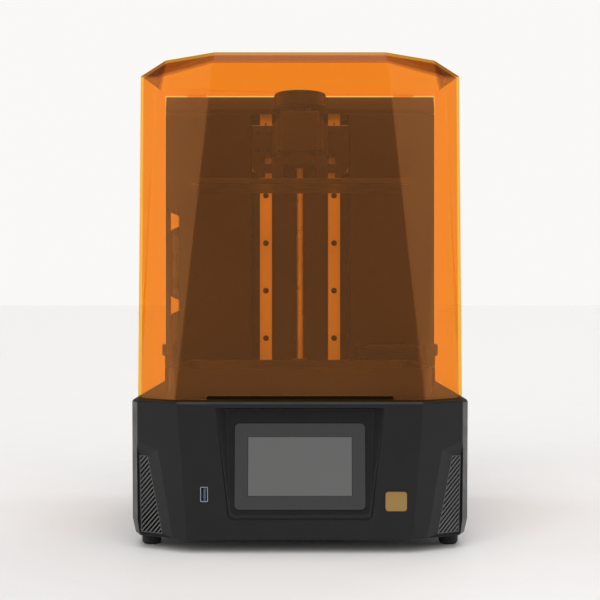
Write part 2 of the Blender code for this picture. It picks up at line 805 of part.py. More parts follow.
def make_vat():
    middle = at_depth(PLATE_DEPTH)
    foot = BASE_TOP + 0.0007
    half_w, half_d = VAT_HALF
    outer = rounded(-half_w, middle - half_d, half_w, middle + half_d, 0.012)
    vat = loft("vat_body", [ring(outer, foot), ring(outer, VAT_RIM)], "aluminium", smooth_above=40)
    well_foot = rounded(-0.124, middle - 0.074, 0.124, middle + 0.074, 0.008)
    well_top = rounded(-0.132, middle - 0.094, 0.132, middle + 0.094, 0.010)
    rings = [
        ring(well_foot, foot - 0.01),
        ring(well_foot, foot + 0.006),
        ring(well_top, VAT_RIM + 0.001),
    ]
    cut(vat, loft("vat_well", rings))
    low = (-0.134, PLATE_DEPTH - 0.090, foot - 0.01)
    high = (0.134, PLATE_DEPTH + 0.090, foot + 0.004)
    cut(vat, box("film_seat", low, high))
    for side in (-1, 1):
        low = (min(side * 0.138, side * 0.152), PLATE_DEPTH - 0.015, foot)
        high = (max(side * 0.138, side * 0.152), PLATE_DEPTH + 0.015, 0.1833)
        join(vat, box(f"vat_lug_{side}", low, high))
        place = Matrix.Translation((side * VAT_KNOB_X, middle, 0.17))
        cut(vat, cylinder(f"lug_bore_{side}", 0.0033, 0.05, place, sides=12))
    edge = rounded(-0.1335, middle - 0.0895, 0.1335, middle + 0.0895, 0.004, 2)
    hole = rounded(-0.124, middle - 0.074, 0.124, middle + 0.074, 0.008, 3)
    plate("film_frame", [edge, hole], 0.0031, lying(foot + 0.0003 + 0.00155), "steel")
    plate("release_film", [edge], 0.0002, lying(foot + 0.0036), "clear_film")
    for side, word in ((-1, "left"), (1, "right")):
        profile = (
            (0, 0.2086), (0.0085, 0.2086), (0.0095, 0.2076), (0.0095, 0.1960), (0.0085, 0.1954),
            (0.0065, 0.1954), (0.0065, 0.1836), (0.0030, 0.1836), (0.0030, BASE_TOP - 0.004),
            (0, BASE_TOP - 0.004),
        )
        knob = turned(f"vat_knob_{word}", profile, side * VAT_KNOB_X, PLATE_DEPTH, "black_plastic")
        ride(pivot(f"vat_knob_{word}_axis", side * VAT_KNOB_X, PLATE_DEPTH, 0.2), knob)


def strap(low_x, high_x, foot, top, corner):
    """One face of a handle: up, across and down, with chamfered corners."""
    return [
        (low_x, foot), (low_x, top - corner), (low_x + corner, top),
        (high_x - corner, top), (high_x, top - corner), (high_x, foot),
    ]


def make_filter():
    low = (FILTER_X[0], FILTER_DEPTHS[0], BASE_TOP + GAP)
    high = (FILTER_X[1], FILTER_DEPTHS[1], 0.2035)
    cartridge = box("air_filter", low, high, "black_plastic")
    round_edges(cartridge, 0.002)
    outer = strap(0.0795, 0.1320, 0.2000, 0.2112, 0.0020)
    inner = strap(0.0825, 0.1290, 0.2000, 0.2086, 0.0010)
    depth = (FILTER_DEPTHS[0] + FILTER_DEPTHS[1]) / 2
    join(cartridge, plate("filter_handle", [outer + inner[::-1]], 0.004, standing(depth)))
    return cartridge


# ---------------------------------------------------------------- rear housing

def placed(points):
    """Points given as (x, depth) or (depth, z) keep their order, with the depth as Y."""
    return [(at_depth(depth), z) for depth, z in points]


def make_rear_housing():
    left = [
        (-HOUSE_HALF, HOUSE_REAR), (-HOUSE_HALF, HOUSE_FRONT),
        (-CHANNEL_HALF, HOUSE_FRONT), (-CHANNEL_HALF, 0.347),
    ]
    inner = [
        (-CHANNEL_HALF - WALL, 0.350), (-CHANNEL_HALF - WALL, HOUSE_FRONT + WALL),
        (-HOUSE_HALF + WALL, HOUSE_FRONT + WALL), (-HOUSE_HALF + WALL, HOUSE_REAR),
    ]
    outline = left + [(-x, depth) for x, depth in reversed(left)]
    outline += [(-x, depth) for x, depth in reversed(inner)] + inner
    outline = [(x, at_depth(depth)) for x, depth in outline]
    low, high = BASE_TOP + GAP, CAP_FOOT - GAP
    plate("rear_housing", [outline], high - low, lying((low + high) / 2), "black_plastic")
    make_cap()
    holes = []
    for row in range(9):
        for x in (-0.105, 0, 0.105):
            z = 0.200 + 0.012 * row
            holes.append(rounded(x - 0.040, z - 0.003, x + 0.040, z + 0.003, 0.0029, 2))
    edge = rounded(-HOUSE_HALF, BASE_TOP + GAP, HOUSE_HALF, CAP_TOP, 0.003, 2)
    place = standing(HOUSE_REAR + GAP + 0.00125)
    plate("rear_cover", [edge] + holes, 0.0025, place, "black_metal")


def make_cap():
    """Cap with a sloping front, hollow from below and behind, with a notch for each hinge."""
    profile = placed([
        (HOUSE_REAR, CAP_FOOT), (HOUSE_REAR, CAP_TOP), (0.308, CAP_TOP),
        (HOUSE_FRONT, 0.4970), (HOUSE_FRONT, CAP_FOOT),
    ])
    cap = plate("housing_cap", [profile], 2 * HOUSE_HALF, sideways(0), "black_plastic")
    hollow = placed([
        (HOUSE_REAR + 0.01, CAP_FOOT - 0.01), (HOUSE_REAR + 0.01, CAP_TOP - WALL),
        (0.310, CAP_TOP - WALL), (HOUSE_FRONT + WALL, 0.4960),
        (HOUSE_FRONT + WALL, CAP_FOOT - 0.01),
    ])
    cut(cap, plate("cap_hollow", [hollow], 2 * (HOUSE_HALF - WALL), sideways(0)))
    for side in (-1, 1):
        x = side * LUG_X
        low = (x - HINGE_NOTCH, HINGE_DEPTH - 0.0064, CAP_TOP - 0.006)
        high = (x + HINGE_NOTCH, HINGE_DEPTH + 0.0180, CAP_TOP + 0.01)
        cut(cap, box(f"hinge_notch_{side}", low, high))


def rail_profile(x):
    """Plan of a rail: a block waisted by a groove down each side."""
    front, back = at_depth(RAIL_FRONT), at_depth(RAIL_FRONT + RAIL_SIDE)
    half, waist = RAIL_SIDE / 2, RAIL_SIDE / 2 - 0.0016
    right = [(half, front), (half, front + 0.004), (waist, front + 0.0055),
             (waist, front + 0.0085), (half, front + 0.010), (half, back)]
    return [(x + a, b) for a, b in mirrored(right)]


def make_lift_frame():
    column = rectangle(-0.052, BASE_TOP + GAP, 0.052, 0.502)
    plate("z_column", [column], 0.012, standing(0.3383), "black_metal")
    for side, word in ((-1, "left"), (1, "right")):
        x = side * RAIL_X
        middle = lying(sum(RAIL_Z) / 2)
        rail = plate(f"rail_{word}", [rail_profile(x)], RAIL_Z[1] - RAIL_Z[0], middle, "steel")
        bores = []
        for k in range(RAIL_HOLES):
            z = RAIL_HOLE_Z + RAIL_HOLE_PITCH * k
            bores.append((bore_mesh(), on_rear_wall(x, z, RAIL_FRONT)))
        cut(rail, merged(f"rail_bores_{word}", bores))
    bracket = rectangle(-0.015, at_depth(0.309), 0.015, at_depth(0.332))
    bore = circle(0, at_depth(SCREW_DEPTH), SCREW_RADIUS + GAP, 16)
    plate("screw_bearing_top", [bracket, bore], 0.009, lying(0.4915), "black_metal")
    low = (-0.0211, SCREW_DEPTH - 0.0211, 0.111)
    high = (0.0211, SCREW_DEPTH + 0.0211, 0.1512)
    box("z_motor", low, high, "black_metal", 0.004)


def make_screw():
    """Everything that turns with the lead screw."""
    axis = pivot("screw_axis", 0, SCREW_DEPTH, 0.3)
    profile = (
        (0, 0.4970), (0.0034, 0.4970), (SCREW_RADIUS, 0.4964), (SCREW_RADIUS, 0.1720),
        (0.0025, 0.1720), (0.0025, 0.1515), (0, 0.1515),
    )
    screw = turned("lead_screw", profile, 0, SCREW_DEPTH, "steel", 16)
    profile = (
        (SCREW_RADIUS + GAP, 0.185), (0.0095, 0.185), (0.0095, 0.160), (0.0028, 0.160),
        (0.0028, 0.1717), (SCREW_RADIUS + GAP, 0.1717),
    )
    coupling = turned("screw_coupling", profile, 0, SCREW_DEPTH, "aluminium", 20, closed=True)
    ride(axis, screw, coupling)


def block_profile(x):
    """Plan of a rail block, which wraps round three sides of its rail."""
    front, back = at_depth(CARRIAGE_DEPTHS[1] + GAP), at_depth(0.3275)
    groove = RAIL_SIDE / 2 + GAP
    shelf = at_depth(RAIL_FRONT - GAP)
    right = [(BLOCK_HALF, front), (BLOCK_HALF, back), (groove, back), (groove, shelf)]
    return [(x + a, b) for a, b in mirrored(right)]


def make_carriage_plate():
    """Plate with two short legs and a window before each rail, and a shelf for the nut."""
    right = [
        (0.0220, 0.4310), (0.0220, 0.4165), (0.0435, 0.4165), (0.0435, 0.4110),
        (0.0510, 0.4110), (0.0580, 0.4190), (0.0600, 0.4240), (0.0600, CARRIAGE_TOP),
    ]
    windows = []
    for x in (-0.040, 0.040):
        windows.append(rounded(x - 0.0045, 0.4275, x + 0.0045, 0.4365, 0.002, 2))
    middle = sum(CARRIAGE_DEPTHS) / 2
    thickness = CARRIAGE_DEPTHS[1] - CARRIAGE_DEPTHS[0]
    outlines = [mirrored(right)] + windows
    carriage = plate("carriage_plate", outlines, thickness, standing(middle), "black_metal")
    block = rectangle(-0.016, at_depth(CARRIAGE_DEPTHS[1] - 0.002), 0.016, at_depth(0.331))
    bore = circle(0, at_depth(SCREW_DEPTH), SCREW_RADIUS + GAP, 16)
    join(carriage, plate("nut_shelf", [block, bore], 0.012, lying(0.4463)))
    return carriage


def make_arm():
    """The arm, wider where it meets the carriage, and the clamping head at its end."""
    root = CARRIAGE_DEPTHS[0] - GAP
    right = [(0.0260, 0.1776), (0.0330, 0.2300), (0.0330, root)]
    outline = mirrored([(x, at_depth(depth)) for x, depth in right])
    arm = plate("platform_arm", [outline], 0.0380, lying(ARM_Z), "black_metal")
    round_edges(arm, 0.002)
    low = (-0.0215, 0.1320, BRACKET_TOP + GAP)
    high = (0.0215, 0.1773, 0.4705)
    head = box("platform_head", low, high, "black_metal", 0.0015)
    return [arm, head]


def make_knob():
    profile = (
        (0, 0.4942), (0.0262, 0.4942), (0.0285, 0.4930), (0.0302, 0.4885), (0.0302, 0.4770),
        (0.0120, 0.4770), (0.0120, 0.4708), (0, 0.4708),
    )
    knob = turned("platform_knob", profile, 0, KNOB_DEPTH, "black_plastic", 36)
    ride(pivot("platform_knob_axis", 0, KNOB_DEPTH, 0.48), knob)


def make_carriage():
    """Everything that rises and falls on the rails."""
    things = []
    height = BLOCK_Z[1] - BLOCK_Z[0]
    for side, word in ((-1, "left"), (1, "right")):
        outline = block_profile(side * RAIL_X)
        things.append(plate(f"rail_block_{word}", [outline], height, lying(sum(BLOCK_Z) / 2), "steel"))
    things.append(make_carriage_plate())
    bore = SCREW_RADIUS + GAP
    profile = (
        (bore, 0.4400), (0.0105, 0.4400), (0.0105, 0.4365), (0.0060, 0.4365),
        (0.0060, 0.4240), (bore, 0.4240),
    )
    things.append(turned("lead_nut", profile, 0, SCREW_DEPTH, "brass", 16, closed=True))
    things += make_arm()
    things += make_platform()
    ride(pivot("carriage_slide", 0, SCREW_DEPTH, 0.447), *things)
    make_knob()


def make_platform():
    """Bracket on two legs, and the plate that hangs from it."""
    foot = PLATE_TOP + GAP
    half = [
        (0.019, 0.4100), (0.019, foot), (0.031, foot), (0.031, 0.4160),
        (0.027, 0.4200), (0.0150, 0.4200), (0.0100, BRACKET_TOP),
    ]
    bracket = plate("platform_bracket", [mirrored(half)], 0.036, standing(PLATE_DEPTH), "black_metal")
    low = (-BUILD_PLATE[0] / 2, PLATE_DEPTH - BUILD_PLATE[1] / 2, PLATE_FOOT)
    high = (BUILD_PLATE[0] / 2, PLATE_DEPTH + BUILD_PLATE[1] / 2, PLATE_TOP)
    return [bracket, box("build_plate", low, high, "aluminium", 0.0008)]


def make_light_bar():
    """Chamber light on the front of the housing, held by two clips."""
    front = HOUSE_FRONT - GAP
    low, high = at_depth(front - 0.0105), at_depth(front - 0.0015)
    half, x = 0.003, LIGHT_X
    bar = rounded(x - half, low, x + half, high, 0.0025, 3)
    plate("light_bar", [bar], 0.166, lying(0.286), "white_diffuser")
    half += GAP
    channel = rounded(x - half, low - GAP, x + half, high + 0.01, 0.0025, 3)
    bore = plate("light_clip_bore", [channel], 0.2, lying(0.286))
    for z, word in ((0.3560, "upper"), (0.2520, "lower")):
        side = [
            (x - 0.0052, z - 0.0110), (x + 0.0043, z - 0.0065),
            (x + 0.0043, z + 0.0065), (x - 0.0052, z + 0.0110),
        ]
        place = standing(front - 0.0062)
        cut(plate(f"light_clip_{word}", [side], 0.0124, place, "steel"), bore)


# ---------------------------------------------------------------- hood

def hood_corners():
    """Named corners of the hood's right half, as (x, depth, z)."""
    return {
        "front_foot": (0.1285, 0.008, HOOD_FOOT),
        "corner_foot": (0.1656, 0.036, HOOD_FOOT),
        "side_foot": (0.1718, 0.055, HOOD_FOOT),
        "rear_foot": (0.1760, HOOD_REAR, HOOD_FOOT),
        "front_brow": (0.0920, 0.040, 0.5094),
        "front_top": (0.0912, 0.055, HOOD_TOP),
        "corner_top": (0.1474, 0.103, HOOD_TOP),
        "corner_brow": (0.1547, 0.065, 0.4974),
        "side_brow": (0.1718, 0.078, 0.4997),
        "rear_top": (0.1760, HOOD_REAR, HOOD_TOP),
        "flange_foot": (0.1760 - FLANGE_IN, HOOD_REAR, HOOD_FOOT),
        "flange_top": (0.1760 - FLANGE_IN, HOOD_REAR, HOOD_TOP - FLANGE_IN),
    }


HOOD_FACETS = (
    ("front_foot", "corner_foot", "corner_brow", "front_brow"),
    ("corner_foot", "side_foot", "side_brow", "corner_brow"),
    ("side_foot", "rear_foot", "rear_top", "side_brow"),
    ("front_brow", "corner_brow", "corner_top", "front_top"),
    ("corner_brow", "side_brow", "corner_top"),
    ("side_brow", "rear_top", "corner_top"),
    ("rear_foot", "flange_foot", "flange_top", "rear_top"),
)
HOOD_BRIDGES = (
    ("front_foot", "front_brow"),
    ("front_brow", "front_top"),
    ("front_top", "corner_top", "rear_top"),
    ("rear_top", "flange_top"),
)


def make_hood():
    """Faceted cover with a flange round its open back, a grip notch and two hinge lugs."""
    builder = bmesh.new()
    points = {}
    for name, (x, depth, z) in hood_corners().items():
        for side in (-1, 1):
            points[name, side] = builder.verts.new((side * x, at_depth(depth), z))
    for facet in HOOD_FACETS:
        for side in (-1, 1):
            builder.faces.new([points[name, side] for name in facet[::side]])
    for names in HOOD_BRIDGES:
        right = [points[name, 1] for name in names]
        left = [points[name, -1] for name in reversed(names)]
        builder.faces.new(right + left)
    bmesh.ops.triangulate(builder, faces=[f for f in builder.faces if len(f.verts) == 4])
    hood = add_object("hood_cover", finish_mesh(builder, "hood_cover"), "tinted_cover")
    thick = hood.modifiers.new("wall", "SOLIDIFY")
    thick.thickness = HOOD_WALL
    thick.offset = -1
    thick.use_even_offset = True
    low = (-GRIP_HALF, -0.01, HOOD_FOOT - 0.01)
    high = (GRIP_HALF, 0.03, HOOD_FOOT + GRIP_HEIGHT)
    cut(hood, box("grip_notch", low, high))
    for side in (-1, 1):
        join(hood, plate(f"hood_lug_{side}", lug_outlines(), 2 * LUG_HALF, sideways(side * LUG_X)))
    ride(pivot("hood_axis", 0, HINGE_DEPTH, HINGE_Z), hood)


def lug_outlines():
    """A hinge lug: an arm back over the cap, then down to a round knuckle with its bore."""
    turns = [math.radians(-30 * k) for k in range(7)]
    knuckle = [
        (HINGE_DEPTH + KNUCKLE * math.cos(turn), HINGE_Z + KNUCKLE * math.sin(turn))
        for turn in turns
    ]
    arm = [
        (HINGE_DEPTH - KNUCKLE, CAP_TOP + 0.0012), (HOOD_REAR - 0.0005, CAP_TOP + 0.0012),
        (HOOD_REAR - 0.0005, HOOD_TOP - 0.0015), (HINGE_DEPTH, HOOD_TOP - 0.0015),
        (HINGE_DEPTH + KNUCKLE, HINGE_Z + 0.006),
    ]
    bore = circle(at_depth(HINGE_DEPTH), HINGE_Z, PIN_RADIUS + GAP, 12)
    return [placed(arm + knuckle), bore]


def make_hinges():
    """A bracket hung under each notch of the cap, and the pin through its two ears."""
    for side, word in ((-1, "left"), (1, "right")):
        centre = side * LUG_X
        right = [
            (LUG_HALF + 0.0005, 0.4945 + WALL), (LUG_HALF + 0.0005, 0.5115), (0.018, 0.5115),
            (0.018, CAP_TOP - WALL - GAP), (0.027, CAP_TOP - WALL - GAP), (0.027, 0.5064),
            (0.018, 0.5064), (0.018, 0.4945),
        ]
        outline = [(centre + x, z) for x, z in mirrored(right)]
        place = standing(HINGE_DEPTH + 0.0030)
        bracket = plate(f"hinge_bracket_{word}", [outline], 0.018, place, "black_metal")
        turn = Matrix.Rotation(math.pi / 2, 4, "Y")
        across = Matrix.Translation((centre, at_depth(HINGE_DEPTH), HINGE_Z)) @ turn
        bore = cylinder(f"pin_bore_{word}", PIN_RADIUS + GAP, 0.05, across, sides=12)
        cut(bracket, bore)
        cylinder(f"hinge_pin_{word}", PIN_RADIUS, 0.0355, across, "steel", 12)


# ---------------------------------------------------------------- assembly

clear_scene()
parts = make_collection("resin_printer")
cutters = make_collection("cutters")
make_base_shell()
make_bottom()
make_screen()
make_usb_port()
make_badge()
make_grilles()
make_deck()
make_light_engine()
make_electronics()
ride(pivot("fan_axis", FAN_X, FAN_DEPTH - 0.0082, FAN_Z), make_fan())
ride(pivot("rocker_axis", ROCKER_X, ROCKER_DEPTH, INLET_Z), make_power_inlet())
make_vat()
ride(pivot("filter_slide", 0.1085, 0.273, 0.18), make_filter())
make_rear_housing()
make_lift_frame()
make_screw()
make_carriage()
make_light_bar()
make_hood()
make_hinges()
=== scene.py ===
"""Looks for the desktop resin printer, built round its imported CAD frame.

Metres, in the frame's axes: +Z up, front towards -Y, +X to the right from the front.
"""

import math
import bmesh
import bpy
from mathutils import Matrix, Vector


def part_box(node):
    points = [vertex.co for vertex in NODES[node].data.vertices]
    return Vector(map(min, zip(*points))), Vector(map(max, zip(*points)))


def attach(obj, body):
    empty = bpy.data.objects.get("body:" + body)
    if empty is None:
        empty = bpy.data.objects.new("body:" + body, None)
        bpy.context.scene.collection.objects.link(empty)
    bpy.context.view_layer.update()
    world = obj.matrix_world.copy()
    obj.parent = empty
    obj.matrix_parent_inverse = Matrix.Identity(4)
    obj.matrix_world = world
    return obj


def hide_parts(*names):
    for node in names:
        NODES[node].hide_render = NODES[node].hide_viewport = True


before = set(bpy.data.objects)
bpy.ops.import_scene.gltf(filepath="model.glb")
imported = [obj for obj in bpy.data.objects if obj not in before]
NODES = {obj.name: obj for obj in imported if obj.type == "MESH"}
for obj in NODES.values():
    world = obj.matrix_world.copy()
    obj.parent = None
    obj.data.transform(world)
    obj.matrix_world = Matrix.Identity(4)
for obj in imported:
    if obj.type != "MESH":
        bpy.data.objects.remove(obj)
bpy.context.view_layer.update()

# Camera, level with the middle of the machine
LENS = 78.9                 # millimetres
SENSOR = 36
CAMERA_REACH = 1.340        # from the lens to the front of the base
CAMERA_HEIGHT = 0.2586

# What each crossing of an acrylic surface lets through, square on and at a low angle
ACRYLIC_THIN = (0.995, 0.70, 0.32)
ACRYLIC_DEEP = (0.985, 0.71, 0.18)
ACRYLIC_BODY = (1.0, 0.50, 0.19)
ACRYLIC_HAZE = 0.034
DEPTH_POWER = 1.7           # how late the tint deepens as a wall turns away
# Painted shade: the sloping strips round the top of the hood let less light through, by this colour
BEVEL_PAINTED_SHADE = (0.60, 0.50, 0.40)
BEVEL_RISE = 0.78           # size of the height of the bevel strips' normals
BEVEL_MARGIN = 0.12

# Haze and gloss of clear walls; an angle is 0 square on and 1 edge on
HAZE_AND_PAINTED_LIGHT_GAIN = 2.7             # more haze on a wall turned away: a little from its longer path, the rest painted light
HAZE_SLANT = (0.02, 0.18)   # angles between which the haze grows
HAZE_LEFT = 0.09            # share of the haze that is left on walls seen nearly edge on
HAZE_FADE = (0.40, 0.80)    # angles between which it fades to that share
HAZE_DRIFT = 0.08           # how much the haze comes and goes across a wall
HAZE_SCALE = 9              # scale of that drift, per metre
MIRROR_FACE = 0.022
MIRROR_EDGE = 0.032
GLOSS_ROUGHNESS = 0.03
WAVE_SCALE = 26             # slow waves in a clear wall's face
WAVE_DEPTH = 0.00003

# Scales of the noise in the opaque finishes, per metre
DRIFT_SCALE = 14
WEAR_SCALE = 55
SPECKLE_SCALE = 320
DUST_COLOUR = (0.30, 0.29, 0.28, 1)

# Softened edges of the CAD nodes
WELD_REACH = 0.000004
BEVEL_SEGMENTS = 2
EDGE_ANGLE = 28             # degrees; edges sharper than this are softened
FACET_ANGLE = 6             # the same, for the shapes whose shallow edges are real edges
SMOOTH_ANGLE = 40

# Bolt holes of the rails, from a rail's foot
RAIL_FIRST = 0.0428
RAIL_PITCH = 0.060
RAIL_BOLTS = 5
RAIL_BOLT_SINK = 0.0084     # from a rail's face to the seat of a bolt's head

# Thread of the lead screw: four starts, 2 mm apart, 8 mm a turn
SCREW_CREST = 0.0040
SCREW_ROOT = 0.0030
SCREW_LEAD = 0.008
SCREW_STARTS = 4
SCREW_STATIONS = 20         # points in a turn of the thread
THREAD_MARKS = (0.0, 0.22, 0.50, 0.72)      # root, flank, crest, flank, as shares of a pitch

# Heads of screws: radius and height
RAIL_BOLT = (0.0035, 0.0040)
HEAD_BOLT = (0.0030, 0.0026)
BRACKET_BOLT = (0.0028, 0.0024)
PLATE_BOLT = (0.0028, 0.0036)
BEARING_BOLT = (0.0022, 0.0020)
BLOCK_SCREW = (0.0019, 0.0008)
CARRIAGE_SCREW = (0.0030, 0.0012)
NUT_SCREW = (0.0015, 0.0008)
COVER_SCREW = (0.0030, 0.0014)
FAN_SCREW = (0.0024, 0.0012)
BOTTOM_SCREW = (0.0030, 0.0012)
VAT_SCREW = (0.0022, 0.0010)
COUPLING_SCREW = (0.0017, 0.0006)

# Soft lights: name, the way to the light, strength, softness in degrees
SUNS = (
    ("key", (-0.30, -0.80, 0.50), 1.6, 50),
    ("fill", (0.32, -0.80, 0.50), 1.0, 60),
    ("top", (0.0, -0.10, 1.0), 1.5, 60),
    ("left", (-0.93, 0.24, 0.20), 0.9, 36),
    ("right", (0.93, 0.24, 0.20), 0.9, 36),
    ("rear", (0.25, 0.90, 0.45), 1.0, 50),
)
UNMIRRORED = ("key", "fill", "rear")        # lights that leave no highlight
FLOOR_COLOUR = (0.72, 0.71, 0.70)
FLOOR_HALF = 60
SKY_COLOUR = (1.0, 0.99, 0.98, 1)
SKY_LIGHT = 0.16            # strength of the backdrop as a light
SKY_SEEN = 0.95             # strength of the backdrop as the camera sees it


# ---------------------------------------------------------------- materials

def new_material(name):
    material = bpy.data.materials.new(name)
    material.use_nodes = True
    return material, material.node_tree, material.node_tree.nodes["Principled BSDF"]


def add_node(tree, kind, inputs=None, **settings):
    node = tree.nodes.new(kind)
    for key, value in settings.items():
        setattr(node, key, value)
    for key, value in (inputs or {}).items():
        if isinstance(value, bpy.types.NodeSocket):
            tree.links.new(value, node.inputs[key])
        else:
            node.inputs[key].default_value = value
    return node


def calculate(tree, operation, *values):
    inputs = dict(enumerate(values))
    return add_node(tree, "ShaderNodeMath", inputs, operation=operation).outputs[0]


def noise(tree, scale, stretch=(1, 1, 1), detail=3, seed=0.0):
    """Noise in the object's own coordinates, so it moves with the piece."""
    place = add_node(tree, "ShaderNodeTexCoord").outputs["Object"]
    mapping = add_node(
        tree, "ShaderNodeMapping", {"Vector": place, "Scale": stretch, "Location": (seed,) * 3}
    )
    texture = add_node(
        tree, "ShaderNodeTexNoise",
        {"Vector": mapping.outputs["Vector"], "Scale": scale, "Detail": detail, "Roughness": 0.55},
    )
    return texture.outputs["Fac"]


def spread(tree, factor, low, high, start=0.3, stop=0.7):
    """Map a factor that runs from start to stop onto low to high."""
    node = add_node(
        tree, "ShaderNodeMapRange",
        {"Value": factor, "From Min": start, "From Max": stop, "To Min": low, "To Max": high},
    )
    return node.outputs["Result"]


def shade(colour, factor):
    return tuple(min(1, value * factor) for value in colour) + (1,)


def blend_colours(tree, factor, low, high, blend_type="MIX"):
    node = add_node(tree, "ShaderNodeMix", data_type="RGBA", blend_type=blend_type)
    for key, value in (("Factor", factor), ("A", low), ("B", high)):
        if isinstance(value, bpy.types.NodeSocket):
            tree.links.new(value, node.inputs[key])
        else:
            node.inputs[key].default_value = value
    return node.outputs["Result"]


def bump(tree, height, distance):
    node = add_node(tree, "ShaderNodeBump", {"Height": height, "Distance": distance})
    return node.outputs["Normal"]


def dusted(tree, colours, dust):
    """Specks of dust over the faces that lie flat."""
    normal = add_node(tree, "ShaderNodeNewGeometry").outputs["Normal"]
    height = add_node(tree, "ShaderNodeSeparateXYZ", {"Vector": normal}).outputs["Z"]
    lying = spread(tree, height, 0.0, dust, 0.5, 1.0)
    speckle = spread(tree, noise(tree, SPECKLE_SCALE, detail=5), 0.2, 1.0, 0.35, 0.65)
    amount = calculate(tree, "MULTIPLY", lying, speckle)
    return blend_colours(tree, amount, colours, DUST_COLOUR)


def surface(name, colour, roughness, metallic=0.0, vary=0.12, drift=0.06, grain=(1400, 0.00003),
            stretch=(1, 1, 1), specular=0.5, dust=0.0):
    """Colour drift, roughness drift and a fine relief; grain is (scale per metre, depth)."""
    material, tree, shader = new_material(name)
    broad = noise(tree, DRIFT_SCALE, detail=4)
    colours = blend_colours(tree, broad, shade(colour, 1 - vary), shade(colour, 1 + vary))
    if dust:
        colours = dusted(tree, colours, dust)
    tree.links.new(colours, shader.inputs["Base Color"])
    wear = noise(tree, WEAR_SCALE, stretch, detail=5, seed=3.0)
    tree.links.new(spread(tree, wear, roughness - drift, roughness + drift), shader.inputs["Roughness"])
    relief = noise(tree, grain[0], stretch, detail=2, seed=7.0)
    tree.links.new(bump(tree, relief, grain[1]), shader.inputs["Normal"])
    shader.inputs["Metallic"].default_value = metallic
    shader.inputs["Specular IOR Level"].default_value = specular
    return material


def on_bevels(tree):
    """One on the sloping strips round the top of the hood, which get painted shade; nought elsewhere."""
    normal = add_node(tree, "ShaderNodeTexCoord").outputs["Normal"]
    height = add_node(tree, "ShaderNodeSeparateXYZ", {"Vector": normal}).outputs["Z"]
    size = calculate(tree, "ABSOLUTE", height)
    return calculate(tree, "COMPARE", size, BEVEL_RISE, BEVEL_MARGIN)


def haze_share(tree, facing, haze):
    """How much of a wall's own colour shows: more at an angle, partly painted light, and little edge on.
    """
    drift = spread(tree, noise(tree, HAZE_SCALE), 1 - HAZE_DRIFT, 1 + HAZE_DRIFT)
    # the growth at an angle is mostly painted light, standing in for the side light on turned facets
    slant = spread(tree, facing, haze, haze * HAZE_AND_PAINTED_LIGHT_GAIN, *HAZE_SLANT)
    fade = spread(tree, facing, 1.0, HAZE_LEFT, *HAZE_FADE)
    return calculate(tree, "MULTIPLY", drift, calculate(tree, "MULTIPLY", slant, fade))


def mix_shaders(tree, share, first, second):
    node = add_node(tree, "ShaderNodeMixShader", {0: share})
    tree.links.new(first, node.inputs[1])
    tree.links.new(second, node.inputs[2])
    return node.outputs["Shader"]


def see_through(name, thin, deep, body, haze, bevels=False):
    """A clear tinted wall: thin is its tint seen square on, deep its tint at a low angle.

    A haze of the body's own colour lies over it, under a clear gloss; with bevels, the sloping strips
    get painted shade.
    """
    material, tree, shader = new_material(name)
    facing = add_node(tree, "ShaderNodeLayerWeight", {"Blend": 0.5}).outputs["Facing"]
    depth = calculate(tree, "POWER", facing, DEPTH_POWER)
    tint = blend_colours(tree, depth, thin + (1,), deep + (1,))
    if bevels:
        # painted shade on the bevel strips: they let less light through than the rest of the wall
        tint = blend_colours(tree, on_bevels(tree), tint, BEVEL_PAINTED_SHADE + (1,), "MULTIPLY")
    clear = add_node(tree, "ShaderNodeBsdfTransparent", {"Color": tint})
    shader.inputs["Base Color"].default_value = body + (1,)
    shader.inputs["Roughness"].default_value = 0.5
    shader.inputs["Specular IOR Level"].default_value = 0.0
    share = haze_share(tree, facing, haze)
    wall = mix_shaders(tree, share, clear.outputs["BSDF"], shader.outputs["BSDF"])
    grazing = calculate(tree, "POWER", facing, 5.0)
    mirror = spread(tree, grazing, MIRROR_FACE, MIRROR_EDGE, 0.0, 1.0)
    relief = bump(tree, noise(tree, WAVE_SCALE, detail=2, seed=5.0), WAVE_DEPTH)
    gloss = add_node(tree, "ShaderNodeBsdfAnisotropic", {"Roughness": GLOSS_ROUGHNESS, "Normal": relief})
    coated = mix_shaders(tree, mirror, wall, gloss.outputs["BSDF"])
    tree.links.new(coated, tree.nodes["Material Output"].inputs["Surface"])
    return material


